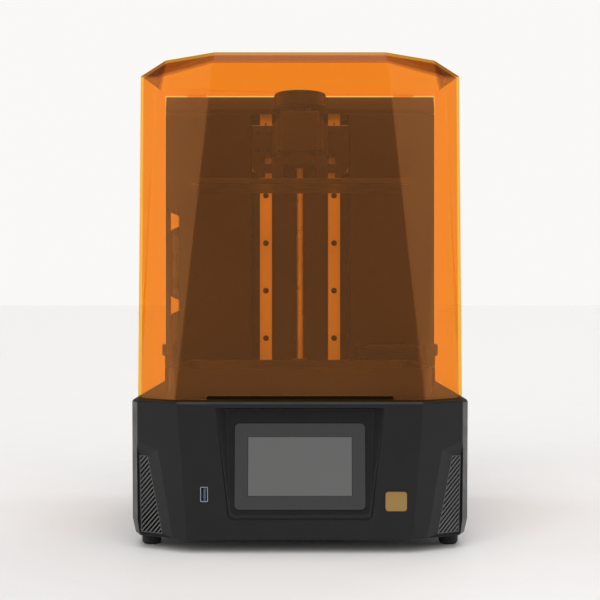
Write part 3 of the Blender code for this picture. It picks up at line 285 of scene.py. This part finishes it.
MATERIALS = {
    "case": surface(
        "case_moulding", (0.0075, 0.0076, 0.0079), 0.38, grain=(2300, 0.000005), specular=0.29
    ),
    # a lighter finish on the case's bevel faces: a painted highlight along its edges
    "case_highlight": surface("case_painted_highlight", (0.010, 0.010, 0.0105), 0.36, vary=0.3),
    "surround": surface(
        "surround_moulding", (0.0065, 0.0066, 0.0070), 0.38, grain=(2300, 0.000005), specular=0.30
    ),
    "grille": surface("grille_moulding", (0.070, 0.070, 0.070), 0.42, vary=0.2),
    "powder": surface(
        "powder_coat", (0.014, 0.0142, 0.0146), 0.50, grain=(1100, 0.00002), specular=0.4
    ),
    # a lighter finish on the powder coat's bevel faces: a painted highlight along its edges
    "powder_highlight": surface("powder_highlight", (0.022, 0.022, 0.022), 0.40, vary=0.4),
    "panel": surface("rear_panel_coat", (0.016, 0.016, 0.017), 0.50, grain=(900, 0.00003), dust=0.03),
    "steel": surface(
        "ground_steel", (0.88, 0.84, 0.81), 0.38, metallic=0.30, vary=0.05,
        grain=(420, 0.000006), stretch=(1, 1, 0.02),
    ),
    "screw_steel": surface(
        "rolled_thread", (0.84, 0.83, 0.82), 0.30, metallic=0.45, drift=0.08, grain=(500, 0.000006)
    ),
    "dark_steel": surface("black_oxide", (0.035, 0.035, 0.037), 0.34, metallic=0.9, vary=0.3),
    "aluminium": surface(
        "blasted_aluminium", (0.50, 0.51, 0.52), 0.40, metallic=1.0, vary=0.06, grain=(1900, 0.00003)
    ),
    "anodised": surface(
        "dark_anodised", (0.026, 0.027, 0.030), 0.44, metallic=0.35, vary=0.15, grain=(1500, 0.00002)
    ),
    "rubber": surface("rubber", (0.022, 0.022, 0.022), 0.80, grain=(700, 0.00010), specular=0.3),
    "border": surface(
        "screen_border", (0.031, 0.031, 0.031), 0.30, vary=0.03, drift=0.02, grain=(60, 0.0000015)
    ),
    "display": surface(
        "display_glass", (0.099, 0.099, 0.099), 0.22, vary=0.02, drift=0.02, grain=(40, 0.0000015)
    ),
    "exposure": surface(
        "exposure_glass", (0.010, 0.011, 0.014), 0.12, vary=0.1, drift=0.03, grain=(20, 0.000002)
    ),
    "gold": surface(
        "gold_plate", (0.40, 0.25, 0.09), 0.34, metallic=0.85, vary=0.08,
        grain=(600, 0.00002), stretch=(0.03, 1, 1),
    ),
    "board": surface("solder_mask", (0.012, 0.075, 0.035), 0.35, vary=0.25, grain=(260, 0.00004)),
    "brass": surface("turned_brass", (0.72, 0.50, 0.20), 0.28, metallic=1.0, vary=0.1),
    "diffuser": surface("smoked_diffuser", (0.035, 0.034, 0.032), 0.30, vary=0.15),
    "port": surface("port_blue", (0.045, 0.085, 0.130), 0.45, vary=0.1),
    "port_metal": surface(
        "drawn_steel", (0.42, 0.42, 0.43), 0.32, metallic=0.8, vary=0.08,
        grain=(500, 0.000005), stretch=(1, 0.1, 1),
    ),
    "tape": surface("black_tape", (0.018, 0.018, 0.019), 0.55, grain=(1500, 0.00001)),
    "diode": surface("diode_lens", (0.060, 0.056, 0.040), 0.30, vary=0.08),
    "acrylic": see_through(
        "tinted_acrylic", ACRYLIC_THIN, ACRYLIC_DEEP, ACRYLIC_BODY, ACRYLIC_HAZE, bevels=True
    ),
    "film": see_through("clear_film", (0.96, 0.97, 0.97), (0.8, 0.84, 0.84), (0.8, 0.85, 0.85), 0.03),
    "lens": see_through("lens_glass", (0.93, 0.96, 0.95), (0.7, 0.8, 0.78), (0.8, 0.9, 0.9), 0.04),
}

NODE_MATERIALS = {
    "case": "base_shell rear_housing housing_cap fan_frame fan_rotor power_inlet power_rocker "
            "platform_knob vat_knob_left vat_knob_right air_filter",
    "surround": "screen_surround",
    "grille": "corner_grille_left corner_grille_right side_grille_left side_grille_right",
    "powder": "deck_plate z_column carriage_plate platform_arm platform_head platform_bracket "
              "screw_bearing_top hinge_bracket_left hinge_bracket_right light_housing bottom_plate",
    "panel": "rear_cover",
    "steel": "rail_left rail_right rail_block_left rail_block_right hinge_pin_left hinge_pin_right "
             "film_frame light_clip_upper light_clip_lower",
    "screw_steel": "lead_screw",
    "dark_steel": "z_motor",
    "aluminium": "screw_coupling heat_sink power_supply",
    "anodised": "vat_body build_plate",
    "rubber": "foot_front_left foot_front_right foot_rear_left foot_rear_right",
    "border": "screen_bezel",
    "display": "touch_screen",
    "exposure": "lcd_panel",
    "gold": "badge_plate",
    "board": "led_board mainboard",
    "brass": "lead_nut",
    "diffuser": "light_bar",
    "port": "usb_port",
    "acrylic": "hood_cover",
    "film": "release_film",
    "lens": "lens_plate",
}


def dress_nodes():
    """Every CAD node gets its finish."""
    for finish, names in NODE_MATERIALS.items():
        for name in names.split():
            slots = NODES[name].data.materials
            slots.clear()
            slots.append(MATERIALS[finish])


# ---------------------------------------------------------------- softened edges

def smoothing_group():
    """Geometry nodes that shade faces smooth except across edges sharper than SMOOTH_ANGLE."""
    group = bpy.data.node_groups.new("shade_by_angle", "GeometryNodeTree")
    group.interface.new_socket("Geometry", in_out="INPUT", socket_type="NodeSocketGeometry")
    group.interface.new_socket("Geometry", in_out="OUTPUT", socket_type="NodeSocketGeometry")
    start = group.nodes.new("NodeGroupInput")
    stop = group.nodes.new("NodeGroupOutput")
    faces = group.nodes.new("GeometryNodeSetShadeSmooth")
    edges = group.nodes.new("GeometryNodeSetShadeSmooth")
    edges.domain = "EDGE"
    edges.inputs["Shade Smooth"].default_value = False
    angle = group.nodes.new("GeometryNodeInputMeshEdgeAngle")
    sharp = group.nodes.new("FunctionNodeCompare")
    sharp.inputs["B"].default_value = math.radians(SMOOTH_ANGLE)
    group.links.new(angle.outputs["Unsigned Angle"], sharp.inputs["A"])
    group.links.new(start.outputs[0], faces.inputs["Geometry"])
    group.links.new(faces.outputs[0], edges.inputs["Geometry"])
    group.links.new(sharp.outputs["Result"], edges.inputs["Selection"])
    group.links.new(edges.outputs[0], stop.inputs[0])
    return group


FACETED = ("hood_cover", "base_shell")      # shapes whose shallow edges are real edges


def soften(name, width, edge_highlight, smoothing):
    """Round a CAD node's edges with modifiers; its own mesh stays as it is."""
    node = NODES[name]
    node.modifiers.new("weld", "WELD").merge_threshold = WELD_REACH
    bevel = node.modifiers.new("edges", "BEVEL")
    bevel.width = width
    bevel.segments = BEVEL_SEGMENTS
    bevel.limit_method = "ANGLE"
    bevel.angle_limit = math.radians(FACET_ANGLE if name in FACETED else EDGE_ANGLE)
    # the bevel faces take the lighter finish, a painted highlight
    if edge_highlight:
        node.data.materials.append(MATERIALS[edge_highlight])
        bevel.material = 1
    node.modifiers.new("shading", "NODES").node_group = smoothing
    node.modifiers.new("normals", "WEIGHTED_NORMAL").keep_sharp = True


# Width of each softened edge, the painted highlight on its bevel faces, and the nodes
SOFT_EDGES = (
    (0.0010, "case_highlight", "housing_cap"),
    (0.0008, "case_highlight", "base_shell rear_housing"),
    (0.0006, "case_highlight", "screen_surround"),
    (0.0010, "powder_highlight", "platform_bracket"),
    (0.0008, "powder_highlight", "platform_arm platform_head carriage_plate"),
    (0.0005, "powder_highlight", "rear_cover"),
    (0.0008, None, "vat_body"),
    (0.0007, None, "rail_block_left rail_block_right hood_cover"),
    (0.0006, None, "air_filter"),
    (0.0005, None, "build_plate rail_left rail_right power_inlet z_column "
                   "foot_front_left foot_front_right foot_rear_left foot_rear_right"),
    (0.0004, None, "screen_bezel power_rocker light_bar"),
    (0.0003, None, "badge_plate"),
    (0.0002, None, "corner_grille_left corner_grille_right side_grille_left side_grille_right usb_port"),
)


def soften_nodes():
    smoothing = smoothing_group()
    for width, edge_highlight, names in SOFT_EDGES:
        for name in names.split():
            soften(name, width, edge_highlight, smoothing)


# ---------------------------------------------------------------- makers of detail pieces

FRONT = Matrix.Rotation(math.radians(90), 4, "X")       # each turns a piece's own +Z that way
BACK = Matrix.Rotation(math.radians(-90), 4, "X")
DOWN = Matrix.Rotation(math.radians(180), 4, "X")
RIGHT = Matrix.Rotation(math.radians(90), 4, "Y")
LEFT = Matrix.Rotation(math.radians(-90), 4, "Y")
TOP = Matrix.Identity(4)


class Box:
    """A node's box in the frame: two corners, its middle and half its size."""

    def __init__(self, name):
        self.low, self.high = (Vector(corner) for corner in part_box(name))
        self.middle = (self.low + self.high) / 2
        self.half = (self.high - self.low) / 2


def put(x, y, z, turn=TOP):
    return Matrix.Translation((x, y, z)) @ turn


def corners(half_a, half_b):
    """The corners of a rectangle round nought."""
    return [(a, b) for a in (-half_a, half_a) for b in (-half_b, half_b)]


def hexagon(angle):
    """Radius of a hexagon at an angle, over the radius of its corners."""
    return math.cos(math.pi / 6) / math.cos(angle % (math.pi / 3) - math.pi / 6)


def ribbed(ribs, depth):
    """Radius of a grip with ribs round it, over its largest radius."""
    return lambda angle: 1 - depth * (0.5 - 0.5 * math.cos(ribs * angle)) ** 2


def add_turned(builder, profile, place, steps=24):
    """A turned form on its own Z axis; a profile row is (radius, height) and an optional shape."""
    rings = []
    for row in profile:
        radius, height = row[:2]
        shape = row[2] if len(row) > 2 else (lambda angle: 1)
        if radius == 0:
            rings.append([builder.verts.new(place @ Vector((0, 0, height)))])
            continue
        angles = [2 * math.pi * i / steps for i in range(steps)]
        spots = [(radius * shape(a) * math.cos(a), radius * shape(a) * math.sin(a)) for a in angles]
        rings.append([builder.verts.new(place @ Vector((a, b, height))) for a, b in spots])
    for lower, upper in zip(rings, rings[1:]):
        for i in range(steps):
            j = (i + 1) % steps
            face = [lower[i % len(lower)], lower[j % len(lower)]]
            face += [upper[j % len(upper)], upper[i % len(upper)]]
            builder.faces.new(list(dict.fromkeys(face)))


def add_walls(builder, loops):
    """Join neighbouring loops that have the same number of points."""
    for lower, upper in zip(loops, loops[1:]):
        count = len(lower)
        for i in range(count):
            j = (i + 1) % count
            builder.faces.new((lower[i], lower[j], upper[j], upper[i]))


def add_prism(builder, outline, low, high, place, edge=0.0):
    """A prism from an outline in its own XY, with its upper edge drawn in by edge."""
    middle = sum((Vector(point) for point in outline), Vector((0, 0))) / len(outline)
    rings = [(0, low), (0, high - edge), (edge, high)] if edge else [(0, low), (0, high)]
    loops = []
    for inward, height in rings:
        loop = []
        for point in outline:
            out = Vector(point) - middle
            spot = middle + out - out.normalized() * inward
            loop.append(builder.verts.new(place @ Vector((spot.x, spot.y, height))))
        loops.append(loop)
    add_walls(builder, loops)
    builder.faces.new(loops[0][::-1])
    builder.faces.new(loops[-1])


def rounded_outline(half_a, half_b, radius, steps=4):
    points = []
    for turn, (sign_a, sign_b) in enumerate(((1, 1), (-1, 1), (-1, -1), (1, -1))):
        for i in range(steps + 1):
            angle = (turn + i / steps) * math.pi / 2
            a = sign_a * (half_a - radius) + radius * math.cos(angle)
            b = sign_b * (half_b - radius) + radius * math.sin(angle)
            points.append((a, b))
    return points


def add_frame(builder, outer, inner, low, high, place):
    """A flat ring between two outlines that have the same number of points."""
    loops = []
    for outline, height in ((inner, low), (outer, low), (outer, high), (inner, high)):
        loops.append([builder.verts.new(place @ Vector((a, b, height))) for a, b in outline])
    add_walls(builder, loops + loops[:1])


def finish_piece(builder, name, finish, body, edge=0.0, angle=35):
    """Link the mesh as a piece that rides on a body, with smooth faces and softened edges."""
    bmesh.ops.recalc_face_normals(builder, faces=builder.faces)
    mesh = bpy.data.meshes.new(name)
    builder.to_mesh(mesh)
    builder.free()
    mesh.shade_smooth()
    mesh.set_sharp_from_angle(angle=math.radians(angle))
    mesh.materials.append(MATERIALS[finish])
    piece = bpy.data.objects.new(name, mesh)
    bpy.context.scene.collection.objects.link(piece)
    if edge:
        bevel = piece.modifiers.new("edges", "BEVEL")
        bevel.width = edge
        bevel.segments = BEVEL_SEGMENTS
        bevel.limit_method = "ANGLE"
        bevel.angle_limit = math.radians(angle)
        piece.modifiers.new("normals", "WEIGHTED_NORMAL").keep_sharp = True
    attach(piece, body)
    return piece


def add_socket_screw(builder, radius, height, place):
    """Cap screw with a knurled head and a hexagon socket, on its own Z axis."""
    grip = ribbed(18, 0.05)
    profile = (
        (0, height * 0.35), (radius * 0.50, height * 0.35, hexagon), (radius * 0.52, height, hexagon),
        (radius * 0.88, height), (radius, height * 0.88, grip), (radius, 0, grip), (0, 0),
    )
    add_turned(builder, profile, place, 36)


def add_pan_screw(builder, radius, height, place):
    """Low domed screw with a hexagon socket."""
    profile = (
        (0, height * 0.2), (radius * 0.42, height * 0.2, hexagon), (radius * 0.45, height, hexagon),
        (radius * 0.75, height * 0.86), (radius * 0.93, height * 0.5), (radius, height * 0.08),
        (radius, -height * 0.3), (0, -height * 0.3),
    )
    add_turned(builder, profile, place)


def screws(name, maker, head, places, body):
    """One piece of like screws; head is their radius and height."""
    builder = bmesh.new()
    for place in places:
        maker(builder, *head, place)
    finish_piece(builder, name, "dark_steel", body)


# ---------------------------------------------------------------- lift

def thread_rows(builder, axis, bottom, top):
    """Rows of points across every start, turning up the screw and cut level at both ends."""
    rows = int((top - bottom) / SCREW_LEAD) * SCREW_STATIONS
    pitch = SCREW_LEAD / SCREW_STARTS
    radii = (SCREW_ROOT, SCREW_CREST, SCREW_CREST, SCREW_ROOT)
    grid = []
    for k in range(rows + SCREW_STATIONS + 1):
        angle = 2 * math.pi * k / SCREW_STATIONS
        row = []
        for start in range(SCREW_STARTS):
            for radius, mark in zip(radii, THREAD_MARKS):
                z = bottom - SCREW_LEAD + SCREW_LEAD * k / SCREW_STATIONS + pitch * (start + mark)
                z = min(max(z, bottom), top)
                spot = (axis.x + radius * math.cos(angle), axis.y + radius * math.sin(angle), z)
                row.append(builder.verts.new(spot))
        grid.append(row)
    return grid


def add_thread(builder, axis, bottom, top):
    grid = thread_rows(builder, axis, bottom, top)
    for k in range(len(grid) - 1):
        here, after = grid[k], grid[k + 1]
        for j in range(len(here) - 1):
            builder.faces.new((here[j], after[j], after[j + 1], here[j + 1]))
        if k + 1 + SCREW_STATIONS < len(grid):
            turn, turn_after = grid[k + SCREW_STATIONS], grid[k + 1 + SCREW_STATIONS]
            builder.faces.new((here[-1], after[-1], turn_after[0], turn[0]))
    bmesh.ops.dissolve_degenerate(builder, edges=builder.edges, dist=0.000002)


def make_lead_screw():
    """A real four-start trapezoidal thread with plain ends."""
    box = Box("lead_screw")
    foot_length, head_length = 0.012, 0.010     # plain ends
    bottom = box.low.z + foot_length
    top = box.high.z - head_length
    builder = bmesh.new()
    add_thread(builder, box.middle, bottom, top)
    journal = SCREW_ROOT * 1.02
    tip = journal * 0.8
    chamfer = 0.0006
    overlap = 0.001
    foot = (
        (0, box.low.z), (tip, box.low.z), (journal, box.low.z + chamfer),
        (journal, bottom + overlap), (0, bottom + overlap),
    )
    head = (
        (0, top - overlap), (journal, top - overlap), (journal, box.high.z - chamfer),
        (tip, box.high.z), (0, box.high.z),
    )
    for profile in (foot, head):
        add_turned(builder, profile, put(box.middle.x, box.middle.y, 0), 20)
    piece = finish_piece(builder, "screw_thread", "screw_steel", "screw", angle=25)
    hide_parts("lead_screw")


def make_rail_details(side):
    """Bolts in a rail's holes, and the grease nipple and end screws of its block."""
    rail = Box(f"rail_{side}")
    seat = rail.low.y + RAIL_BOLT_SINK
    heights = [rail.low.z + RAIL_FIRST + RAIL_PITCH * k for k in range(RAIL_BOLTS)]
    spots = [put(rail.middle.x, seat, z, FRONT) for z in heights]
    screws(f"rail_bolts_{side}", add_socket_screw, RAIL_BOLT, spots, "frame")
    block = Box(f"rail_block_{side}")
    nipple = (
        (0, 0.0), (0.0024, 0.0), (0.0024, 0.0012, hexagon), (0.0014, 0.0016), (0.0011, 0.0024),
        (0.0015, 0.0032), (0.0009, 0.0040), (0, 0.0040),
    )
    builder = bmesh.new()
    port = block.low.y + 0.0065
    add_turned(builder, nipple, put(block.middle.x, port, block.high.z))
    finish_piece(builder, f"grease_nipple_{side}", "brass", "carriage")
    row = block.low.y + 0.010
    spots = []
    for across in (-0.0125, 0.0125):
        spots.append(put(block.middle.x + across, row, block.high.z))
        spots.append(put(block.middle.x + across, row, block.low.z, DOWN))
    screws(f"rail_block_screws_{side}", add_pan_screw, BLOCK_SCREW, spots, "carriage")


def make_carriage_bolts():
    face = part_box("carriage_plate")[0].y
    columns = (0.0385, 0.0535)
    rows = (0.4450, 0.4660)
    spots = [put(side * x, face, z, FRONT) for side in (-1, 1) for x in columns for z in rows]
    screws("carriage_bolts", add_pan_screw, CARRIAGE_SCREW, spots, "carriage")


def make_head_bolts():
    """Bolts on both sides of the platform's head."""
    head = Box("platform_head")
    spots = []
    for edge, turn in ((head.low.x, LEFT), (head.high.x, RIGHT)):
        for along, up in corners(0.012, 0.011):
            spots.append(put(edge, head.middle.y + along, head.middle.z + up, turn))
    screws("platform_head_screws", add_socket_screw, HEAD_BOLT, spots, "carriage")


def make_nut_screws():
    """Four screws under the nut's flange."""
    nut = Box("lead_nut")
    circle = 0.0082
    flange = nut.high.z - 0.0035
    spots = []
    for k in range(4):
        angle = math.radians(45 + 90 * k)
        x = nut.middle.x + circle * math.cos(angle)
        y = nut.middle.y + circle * math.sin(angle)
        spots.append(put(x, y, flange, DOWN))
    screws("nut_screws", add_pan_screw, NUT_SCREW, spots, "carriage")


def make_platform_bolts():
    """Bolts of the platform's bracket, and of the build plate with their washers."""
    bracket = Box("platform_bracket")
    row = bracket.low.z + 0.0060
    spots = [put(x, bracket.low.y, row, FRONT) for x in (-0.025, 0.025)]
    screws("bracket_screws", add_socket_screw, BRACKET_BOLT, spots, "carriage")
    plate = Box("build_plate")
    hole, rim, thick, lift = 0.0034, 0.0046, 0.0012, 0.0002
    washer = ((hole, 0.0), (rim, 0.0), (rim, thick), (hole, thick), (hole, 0.0))
    builder = bmesh.new()
    for x, along in corners(0.041, 0.012):
        y = plate.middle.y + along
        add_turned(builder, washer, put(x, y, plate.high.z))
        add_socket_screw(builder, *PLATE_BOLT, put(x, y, plate.high.z + lift))
    finish_piece(builder, "build_plate_screws", "steel", "carriage")


# ---------------------------------------------------------------- knobs

def replace_knob(node, name, profile, steps):
    """A turned grip in place of a plain knob that turns on a body of its own name."""
    knob = Box(node)
    builder = bmesh.new()
    add_turned(builder, profile, put(knob.middle.x, knob.middle.y, 0), steps)
    piece = finish_piece(builder, name, "case", node, angle=30)
    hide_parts(node)


def make_platform_knob():
    """Wide ribbed knob with a shallow dish in its top."""
    knob = Box("platform_knob")
    radius = knob.half.x
    grip = ribbed(40, 0.012)
    top = knob.high.z
    skirt = knob.low.z + 0.0062
    profile = (
        (0, top - 0.0006), (0.0120, top - 0.0006), (0.0130, top), (0.0262, top),
        (0.0285, top - 0.0012), (radius, top - 0.0057, grip),
        (radius, skirt + 0.0010, grip), (radius - 0.0012, skirt), (0.0120, skirt),
        (0.0120, knob.low.z), (0, knob.low.z),
    )
    replace_knob("platform_knob", "platform_knob_grip", profile, 192)


def make_vat_knob(side):
    """Ribbed thumb screw on a collar and a stem."""
    knob = Box(f"vat_knob_{side}")
    radius = knob.half.x
    grip = ribbed(20, 0.06)
    top = knob.high.z
    neck = top - 0.0132
    shoulder = top - 0.0250
    profile = (
        (0, top - 0.0008), (0.0040, top - 0.0008), (0.0048, top), (0.0083, top),
        (radius, top - 0.0010, grip), (radius, neck + 0.0010, grip), (0.0085, neck),
        (0.0065, neck), (0.0065, shoulder), (0.0030, shoulder),
        (0.0030, knob.low.z + 0.0006), (0.0024, knob.low.z), (0, knob.low.z),
    )
    replace_knob(f"vat_knob_{side}", f"vat_knob_grip_{side}", profile, 120)


# ---------------------------------------------------------------- case

def make_cover_screws():
    """Screws round the rear cover, the fan and the bottom plate."""
    cover = Box("rear_cover")
    across = cover.high.x - 0.0085
    low_row = cover.low.z + 0.009
    high_row = cover.high.z - 0.009
    rows = (low_row, cover.middle.z - 0.060, cover.middle.z + 0.060, high_row)
    spots = [put(side * across, cover.high.y, z, BACK) for z in rows for side in (-1, 1)]
    spots += [put(0, cover.high.y, z, BACK) for z in (low_row, high_row)]
    screws("rear_cover_screws", add_pan_screw, COVER_SCREW, spots, "frame")
    fan = Box("fan_frame")
    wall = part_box("base_shell")[1].y
    hole = 0.0250
    spots = [put(fan.middle.x + a, wall, fan.middle.z + b, BACK) for a, b in corners(hole, hole)]
    screws("fan_screws", add_pan_screw, FAN_SCREW, spots, "frame")
    bottom = Box("bottom_plate")
    inset = 0.012
    spots = []
    for x in (bottom.low.x + inset, bottom.high.x - inset):
        spots += [put(x, bottom.middle.y + y, bottom.low.z, DOWN) for y in (-0.090, 0.0, 0.090)]
    inset = 0.010
    for y in (bottom.low.y + inset, bottom.high.y - inset):
        spots += [put(x, y, bottom.low.z, DOWN) for x in (-0.070, 0.070)]
    screws("bottom_screws", add_pan_screw, BOTTOM_SCREW, spots, "frame")


def make_deck_screws():
    """Bolts of the lead screw's top bearing, and the screws in the corners of the vat."""
    bearing = Box("screw_bearing_top")
    spots = [put(x, bearing.middle.y, bearing.high.z) for x in (-0.0105, 0.0105)]
    screws("bearing_screws", add_socket_screw, BEARING_BOLT, spots, "frame")
    vat = Box("vat_body")
    spots = [put(x, vat.middle.y + along, vat.high.z) for x, along in corners(0.1355, 0.094)]
    screws("vat_corner_screws", add_pan_screw, VAT_SCREW, spots, "frame")


def make_usb_port():
    """The port's metal shell and its four contacts."""
    port = Box("usb_port")
    place = put(port.middle.x, port.low.y, port.middle.z, FRONT)
    over, wall = 0.0001, 0.0005
    outer = rounded_outline(port.half.x + over, port.half.z + over, 0.0011)
    inner = rounded_outline(port.half.x - wall, port.half.z - wall, 0.0007)
    deep, proud = -0.0060, 0.0004
    builder = bmesh.new()
    add_frame(builder, outer, inner, deep, proud, place)
    finish_piece(builder, "usb_shell", "port_metal", "frame")
    strip = rounded_outline(0.0001, 0.0005, 0.00009, 2)
    root, tip, aside = -0.0075, -0.0019, -0.00075
    builder = bmesh.new()
    for z in (-0.0036, -0.0012, 0.0012, 0.0036):
        spot = place @ Matrix.Translation((aside, z, 0))
        add_prism(builder, strip, root, tip, spot, 0.00004)
    finish_piece(builder, "usb_contacts", "gold", "frame")


def make_fan_hub():
    """A round cap with a raised middle on the fan's hub."""
    rotor = Box("fan_rotor")
    rise, boss, rim, sink = 0.0004, 0.0080, 0.0112, -0.0006
    hub = ((0, rise), (boss, rise), (boss + 0.0006, 0.0), (rim, 0.0), (rim, sink), (0, sink))
    builder = bmesh.new()
    add_turned(builder, hub, put(rotor.middle.x, rotor.high.y, rotor.middle.z, BACK), 32)
    finish_piece(builder, "fan_hub_cap", "port_metal", "fan")


def make_filter_louvres():
    """Slanted louvres across the front of the filter cartridge."""
    cartridge = Box("air_filter")
    half = cartridge.half.x - 0.006
    tilt = RIGHT @ Matrix.Rotation(math.radians(25), 4, "Z")
    louvre = [(-0.0006, -0.0011), (0.0004, -0.0011), (0.0006, 0.0011), (-0.0004, 0.0011)]
    first, pitch = 0.0070, 0.0046
    builder = bmesh.new()
    for k in range(9):
        z = cartridge.low.z + first + pitch * k
        place = put(cartridge.middle.x - half, cartridge.low.y - 0.0002, z, tilt)
        add_prism(builder, louvre, 0, 2 * half, place)
    finish_piece(builder, "filter_louvres", "case", "filter", 0.0002)


def make_exposure_mask():
    """The tape that frames the exposure panel."""
    panel = Box("lcd_panel")
    outward, inward = 0.0060, 0.0050
    outer = rounded_outline(panel.half.x + outward, panel.half.y + outward, 0.003)
    inner = rounded_outline(panel.half.x - inward, panel.half.y - inward, 0.002)
    top = max(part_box("deck_plate")[1].z, panel.high.z)
    under, over = 0.00002, 0.00016
    builder = bmesh.new()
    add_frame(builder, outer, inner, under, over, put(panel.middle.x, panel.middle.y, top))
    finish_piece(builder, "exposure_mask", "tape", "frame")


def make_badge_rim():
    """A plain raised rim round the badge."""
    badge = Box("badge_plate")
    inset, width = 0.0006, 0.0008
    outer = rounded_outline(badge.half.x - inset, badge.half.z - inset, 0.0024)
    inner = rounded_outline(badge.half.x - inset - width, badge.half.z - inset - width, 0.0018)
    place = put(badge.middle.x, badge.low.y, badge.middle.z, FRONT)
    builder = bmesh.new()
    add_frame(builder, outer, inner, -0.0001, 0.0002, place)
    finish_piece(builder, "badge_rim", "gold", "frame")


def make_light_bar_details():
    """End caps of the light bar and the row of diodes down its face."""
    bar = Box("light_bar")
    cap = rounded_outline(bar.half.x + 0.0003, bar.half.y + 0.0002, 0.0028)
    skirt, crown = -0.0030, 0.0006
    builder = bmesh.new()
    for z, turn in ((bar.high.z, TOP), (bar.low.z, DOWN)):
        add_prism(builder, cap, skirt, crown, put(bar.middle.x, bar.middle.y, z, turn), 0.0005)
    finish_piece(builder, "light_bar_caps", "case", "frame")
    diodes, inset = 14, 0.010
    lens = rounded_outline(0.0016, 0.0016, 0.0005)
    builder = bmesh.new()
    for k in range(diodes):
        z = bar.low.z + inset + (bar.high.z - bar.low.z - 2 * inset) * k / (diodes - 1)
        add_prism(builder, lens, -0.0001, 0.0004, put(bar.middle.x, bar.low.y, z, FRONT), 0.0002)
    finish_piece(builder, "light_bar_diodes", "diode", "frame")


def make_diode_domes():
    """A dome over each diode of the light engine, in a grid."""
    board = Box("led_board")
    radius, squash = 0.0034, 0.8
    pitch, columns, rows = 0.016, 6, 4
    angles = [math.radians(a) for a in (0, 18, 36, 54, 72)]
    dome = [(radius * math.cos(a), radius * math.sin(a) * squash) for a in angles]
    profile = [(0, 0.0)] + dome + [(0, radius * squash)]
    builder = bmesh.new()
    for row in range(rows):
        for column in range(columns):
            x = board.middle.x - 0.040 + pitch * column
            y = board.middle.y - 0.024 + pitch * row
            add_turned(builder, profile, put(x, y, board.high.z - 0.0004), 16)
    finish_piece(builder, "diode_domes", "lens", "frame")


def make_coupling_screws():
    """Clamp screws on the front and back of the screw's coupling, a little into its face."""
    coupling = Box("screw_coupling")
    reach = coupling.half.x * 0.985
    inset = 0.0055
    spots = []
    for z in (coupling.low.z + inset, coupling.high.z - inset):
        spots.append(put(coupling.middle.x, coupling.middle.y - reach, z, FRONT))
        spots.append(put(coupling.middle.x, coupling.middle.y + reach, z, BACK))
    screws("coupling_screws", add_pan_screw, COUPLING_SCREW, spots, "screw")


def make_details():
    make_lead_screw()
    for side in ("left", "right"):
        make_rail_details(side)
    make_carriage_bolts()
    make_head_bolts()
    make_nut_screws()
    make_platform_bolts()
    make_platform_knob()
    for side in ("left", "right"):
        make_vat_knob(side)
    make_cover_screws()
    make_deck_screws()
    make_usb_port()
    make_fan_hub()
    make_filter_louvres()
    make_exposure_mask()
    make_badge_rim()
    make_light_bar_details()
    make_diode_domes()
    make_coupling_screws()


# ---------------------------------------------------------------- studio

def lay_floor():
    mesh = bpy.data.meshes.new("floor")
    builder = bmesh.new()
    bmesh.ops.create_grid(builder, x_segments=1, y_segments=1, size=FLOOR_HALF)
    builder.to_mesh(mesh)
    builder.free()
    floor = bpy.data.objects.new("floor", mesh)
    bpy.context.scene.collection.objects.link(floor)
    mesh.materials.append(surface("floor_paper", FLOOR_COLOUR, 0.75, vary=0.02, grain=(500, 0.0001)))


def hang_lights():
    for name, towards, strength, softness in SUNS:
        lamp = bpy.data.lights.new(name, "SUN")
        lamp.energy = strength
        lamp.angle = math.radians(softness)
        holder = bpy.data.objects.new(name, lamp)
        holder.rotation_euler = Vector(towards).to_track_quat("Z", "Y").to_euler()
        holder.visible_glossy = name not in UNMIRRORED
        bpy.context.scene.collection.objects.link(holder)


def paint_backdrop():
    """A pale world that the camera sees brighter than it lights."""
    world = bpy.data.worlds.new("studio")
    bpy.context.scene.world = world
    world.use_nodes = True
    tree = world.node_tree
    seen = add_node(tree, "ShaderNodeLightPath").outputs["Is Camera Ray"]
    strength = spread(tree, seen, SKY_LIGHT, SKY_SEEN, 0.0, 1.0)
    tree.nodes["Background"].inputs["Color"].default_value = SKY_COLOUR
    tree.links.new(strength, tree.nodes["Background"].inputs["Strength"])
    bpy.context.scene.view_settings.view_transform = "Standard"


def place_camera():
    lens = bpy.data.cameras.new("camera")
    lens.lens = LENS
    lens.sensor_width = SENSOR
    camera = bpy.data.objects.new("camera", lens)
    base_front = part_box("base_shell")[0].y
    camera.location = (0, base_front - CAMERA_REACH, CAMERA_HEIGHT)
    camera.rotation_euler = (math.pi / 2, 0, 0)
    bpy.context.scene.collection.objects.link(camera)
    bpy.context.scene.camera = camera


dress_nodes()
soften_nodes()
make_details()
lay_floor()
hang_lights()
paint_backdrop()
place_camera()
